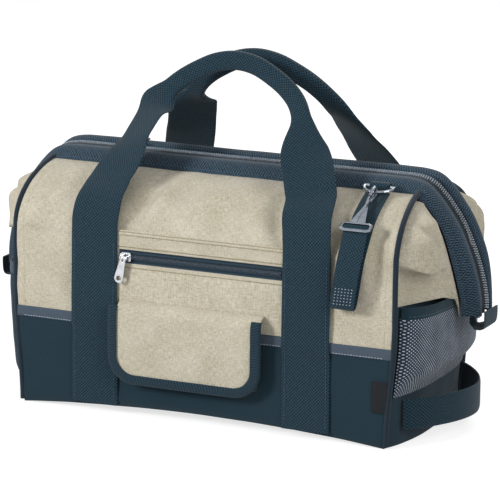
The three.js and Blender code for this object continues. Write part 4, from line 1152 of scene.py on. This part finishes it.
binding = cloth("flap_tape", 190, 14, binding_place, (0.3, 0.022), 0.7, FRONT, bevel=0.2)
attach(dress(binding, BINDING, "webbing_navy", "flap_binding"), "flap")

# Blank label tab in the corner seam
LABEL_X, LABEL_Z = (180.5, 197.5), (36, 67)
label = cloth("blank_label", 12, 20, lambda u, v: wall_point(
    -1, lerp(*LABEL_X, u), lerp(*LABEL_Z, v), 0.5 + 1.0 * smoothstep(u, 0.0, 0.4) + 0.35 * math.sin(3.1 * v)),
    (0.0166, 0.033), 0.8, FRONT, bevel=0.25)
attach(dress(label, LABEL, "label_black", "label_tab"), "shell")

# Tool holder: tab, doubled webbing with the snap hook; its routes give how far out and how high
TOOL_X, TOOL_LEAN, TOOL_FOOT, TOOL_BEND = 162.0, 8.0, 136.6, 198.5
TAB_ROUTE = [(33.6, 238.6), (38.5, 239.7), (43, 240.4), (45.3, 243), (43, 245.7), (39, 245.8), (34.6, 244)]
TOOL_ROUTE = [(47, 237.6), (60, 231.5), (74, 223.2), (86, 213.5), (96, 201), (102.8, 185), (105.7, 165),
              (106.9, TOOL_FOOT + 8), (108.6, TOOL_FOOT + 1.4), (111, TOOL_FOOT), (113.7, TOOL_FOOT + 2.6),
              (114.2, TOOL_FOOT + 20), (112, 180), (108, 198), (103.2, 208), (101.6, 213.7), (100.4, 216.1)]


def tool_middle(z):
    """The strap leans to the left below the ring."""
    return TOOL_X - TOOL_LEAN * max(0.0, (TOOL_BEND - z) / (TOOL_BEND - TOOL_FOOT))


tab = strap("ring_tab_webbing", smooth_path([(TOOL_X, -y, z) for y, z in TAB_ROUTE], 40), (1, 0, 0), 20, 1.5, rows=40)
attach(dress(tab, WEBBING, "webbing_navy", "ring_tab"), "mouth_front")
tool_path = smooth_path([(tool_middle(z), -y, z) for y, z in TOOL_ROUTE], 130)
tool_web = strap("tool_strap_webbing", tool_path, (1, 0, 0), 25, 1.5, rows=200)
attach(dress(tool_web, WEBBING, "webbing_navy", "tool_webbing"), "tool_strap")


# Grab loop
def loop_point(share):
    y = lerp(-78, 82, share)
    out = 1.95 + 34 * math.sin(math.pi * share) ** 0.8
    return Vector((end_x(y, 41) + out, y, 31 + 0.8 * math.sin(2 * math.pi * share)))


loop = strap("grab_loop_webbing", [loop_point(n / 60) for n in range(61)], (0, 0, 1), 30, 2.6, rows=110)
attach(dress(loop, WEBBING, "webbing_navy", "grab_loop"), "shell")

# Zip tail tabs
TAIL_ROUTE = [(244, 118), (244, 110), (247, 107), (253, 106.9), (258.5, 107), (261.5, 110), (262.4, 118.6),
              (262.2, 124.5)]
for side, end in ENDS:
    tail = strap(f"{end}_tail_webbing", smooth_path([(side * x, 0, z) for x, z in TAIL_ROUTE], 40), (0, 1, 0),
                 lambda v: lerp(15, 36, smoothstep(v, 0.26, 0.42)), 2.0, rows=50)
    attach(dress(tail, WEBBING, "webbing_navy", f"{end}_tail_tab"), "shell")

# Stitches: short rounded bars in rows on the finished surfaces
STITCH = unit_mesh("stitch", (1.3, 0.45, 0.36), 6, 4, 0.6)
DOT = unit_mesh("stitch_dot", (0.75, 0.6, 0.4), 6, 4, 0.8)
BAND_ENDS = 8.0


def seam(name, rows, yarn, slot, pitch=3.5, unit=STITCH):
    """A row is a function from a share of the row to a point in millimetres, and the outward direction there."""
    places = []
    for at, outward in rows:
        path = [at(n / 100) for n in range(101)]
        count = int(path_length(path) / pitch)
        for k in range(count):
            share = (k + 0.5) / count
            along = (sample(path, share + 0.012) - sample(path, share - 0.012)).normalized()
            normal = outward(share) if callable(outward) else outward
            across = normal.cross(along).normalized()
            places.append(frame_matrix(sample(path, share), along, across, along.cross(across)))
    return dress(repeated(name, unit, places), yarn, slot)


def panel_row(z):
    """A row on the pocket panel: beside the slot on its face, and near the top on its upper rows."""
    if z < 180:
        return lambda t: wall_point(-1, lerp(-98, 98, t), z, 1.62)
    v = (6 + (z - 180) / (POCKET_TOP - 180)) / 7
    return lambda t: pocket_panel_place(lerp(0.02, 0.98, t), v) - Vector((0, 0.12, 0))


def below(at, drop):
    return lambda t: at(t) - Vector((0, 0, drop))


panel_rows = [panel_row(z) for z in (150.8, 171.2, 182.2, 185.6)]
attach(seam("pocket_panel_stitches", [(at, FRONT) for at in panel_rows], BEIGE_THREAD, "canvas_beige"), "shell")
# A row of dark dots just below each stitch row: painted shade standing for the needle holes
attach(seam("pocket_panel_painted_hole_shade", [(below(at, 0.75), FRONT) for at in panel_rows], NEEDLE_HOLE_PAINTED_SHADE, "canvas_beige",
             1.75, DOT), "shell")


def long_seams(side, name):
    out = Vector((0, side, 0))

    def tape_row(low, high):
        return lambda t: wall_point(side, lerp(low, high, t), BAND_LOW + 1.6, 1.35), out

    def edge_row(u):
        return lambda t: canvas_point(side, u, lerp(0.03, 0.88, t)) + Vector((0, side * 0.12, 0.04)), out

    def band_row(share):
        def outward(t):
            _, up, drop, reach = mouth_at(lerp(BAND_ENDS, MOUTH_LENGTH - BAND_ENDS, t))
            a, low = band_profile(side, share - 0.05, drop, reach)
            b, high = band_profile(side, share + 0.05, drop, reach)
            return (up * (b - a) + out * (low - high)).normalized()
        return lambda t: band_point(side, lerp(BAND_ENDS, MOUTH_LENGTH - BAND_ENDS, t), share, 0.22), outward

    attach(seam(f"{name}_seam_tape_stitches", [tape_row(*ends) for ends in ((-192, -140), (-86, 86), (140, 192))],
                 PALE_THREAD, "band_slate", 3.0), "shell")
    edge = seam(f"{name}_canvas_stitches", [edge_row(0.021), edge_row(0.979)], BEIGE_THREAD, "canvas_beige")
    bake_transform(edge)
    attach(seam(f"{name}_mouth_stitches", [band_row(0.16), band_row(0.9)], NAVY_THREAD, "band_navy"), f"mouth_{name}")


def pocket_row(side, foot):
    def at(t):
        y = lerp(-90, 90, t)
        return pocket_point(side, foot, y, pocket_top(y, POCKET_EDGE + 2.4), 0.85)
    return at, Vector((side, 0, 0))


def strap_row(path, depth, edge):
    return lambda t: sample(path, t) + Vector((edge, depth * 1.3, 0)), Vector((0, depth, 0))


def tool_dot_row(z):
    return lambda t: Vector((tool_middle(z) + lerp(-10, 10, t), -115.1, z)), FRONT


for side, name in LONG_SIDES:
    long_seams(side, name)
for side, foot, name in END_POCKETS:
    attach(seam(f"{name}_stitches", [pocket_row(side, foot)], NAVY_THREAD, "webbing_navy"), "shell")
FLAP_ROW = [flap_surface(x, z, between(FLAP_FACE, z) + 1.4) for x, z in flap_edge(7.6)]
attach(seam("flap_stitches", [(lambda t: sample(FLAP_ROW, t), FRONT)], NAVY_THREAD, "webbing_navy"), "flap")
for name, path, depth in sewn_straps:
    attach(seam(name, [strap_row(path, depth, edge) for edge in (-21.5, 21.5)], NAVY_THREAD, "webbing_navy"), "shell")
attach(seam("tool_strap_dots", [tool_dot_row(TOOL_FOOT + 5 + 3 * k) for k in range(6)], PALE_THREAD, "webbing_navy",
             2.9, DOT), "tool_strap")

# Solids that stay as they are, with their own finishes
FINISHES = {"base_board": BOARD, "front_frame": STEEL, "rear_frame": STEEL, "left_hinge_pin": STEEL,
            "right_hinge_pin": STEEL, "main_slider_left": GUNMETAL, "main_slider_right": GUNMETAL,
            "main_pull_left": GUNMETAL, "main_pull_right": GUNMETAL, "pocket_slider": NICKEL, "d_ring": FORGED,
            "snap_hook": FORGED, "hook_gate": FORGED}
for node, material in FINISHES.items():
    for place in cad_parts[node].material_slots:
        place.material = material
lay_uv(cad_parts["base_board"].data, lambda vertex: vertex.co.xy)


# Studio: pale floor, soft lamps, the photograph's viewing angle
def seen_or_lit(tree, kind, seen, lit):
    """A light that the camera and mirrors see at one strength, and that lights the bag at another."""
    path = tree.nodes.new("ShaderNodeLightPath")
    direct = Value(tree, path.outputs["Is Camera Ray"]).calculate("MAXIMUM", Value(tree, path.outputs["Is Glossy Ray"]))
    choice = direct.into(tree.nodes.new("ShaderNodeMixShader"), "Fac")
    for index, strength in ((1, lit), (2, seen)):
        light = tree.nodes.new(kind)
        light.inputs["Color"].default_value = (1, 1, 1, 1)
        light.inputs["Strength"].default_value = strength
        tree.links.new(light.outputs[0], choice.inputs[index])
    return choice.outputs[0]


deselect()
bpy.ops.mesh.primitive_plane_add(size=14, location=(0, 0, 0))
floor = bpy.context.object
floor.name = "studio_floor"
floor_material = bpy.data.materials.new("studio_white")
floor_material.use_nodes = True
floor.data.materials.append(floor_material)
tree = floor_material.node_tree
paint = tree.nodes["Principled BSDF"]
paint.inputs["Base Color"].default_value = (0.5, 0.5, 0.5, 1)
paint.inputs["Roughness"].default_value = 0.9
paint.inputs["Specular IOR Level"].default_value = 0.1
both = tree.nodes.new("ShaderNodeAddShader")
tree.links.new(paint.outputs[0], both.inputs[0])
tree.links.new(seen_or_lit(tree, "ShaderNodeEmission", 0.72, 0.0), both.inputs[1])
tree.links.new(both.outputs[0], tree.nodes["Material Output"].inputs["Surface"])

world = bpy.data.worlds.new("studio_air")
bpy.context.scene.world = world
world.use_nodes = True
air = world.node_tree
air.links.new(seen_or_lit(air, "ShaderNodeBackground", 1.0, 0.32), air.nodes["World Output"].inputs["Surface"])


def aim(obj, place, toward, roll=0.0):
    """Puts a lamp or the camera at a place, looking against the direction that points from the bag to it."""
    obj.location = place
    obj.rotation_euler = ((-toward).to_track_quat("-Z", "Y") @ Quaternion((0, 0, 1), roll)).to_euler()


LAMP_TARGET = Vector((0, 0, 0.15))
for name, place, size, power in (("key_lamp", (-1.5, -2.2, 1.25), 0.7, 62), ("side_lamp", (1.9, -1.0, 1.2), 1.4, 23),
                                 ("back_lamp", (0.3, 2.0, 1.8), 1.4, 22)):
    data = bpy.data.lights.new(name, "AREA")
    data.shape = "SQUARE"
    data.size = size
    data.energy = power
    aim(link(name, data), place, Vector(place) - LAMP_TARGET)

# The camera as solved from the photograph, whose frame is taken as 500 pixels wide
AZIMUTH, ELEVATION, ROLL, DISTANCE = math.radians(24.43), math.radians(12.81), 0.0107, 3.2
TARGET = Vector((0.007, 0, 0.1558))
FOCUS_PX, PHOTO_PX, SENSOR = 3226.6, 500, 36.0
FLAT = math.cos(ELEVATION)
toward = Vector((FLAT * math.sin(AZIMUTH), -FLAT * math.cos(AZIMUTH), math.sin(ELEVATION)))
lens = bpy.data.cameras.new("photo_camera")
lens.sensor_width = SENSOR
lens.sensor_fit = "HORIZONTAL"
lens.lens = SENSOR * FOCUS_PX / PHOTO_PX
lens.clip_end = 50
camera = link("photo_camera", lens)
aim(camera, TARGET + toward * DISTANCE, toward, ROLL)
bpy.context.scene.camera = camera
bpy.context.scene.view_settings.view_transform = "Standard"
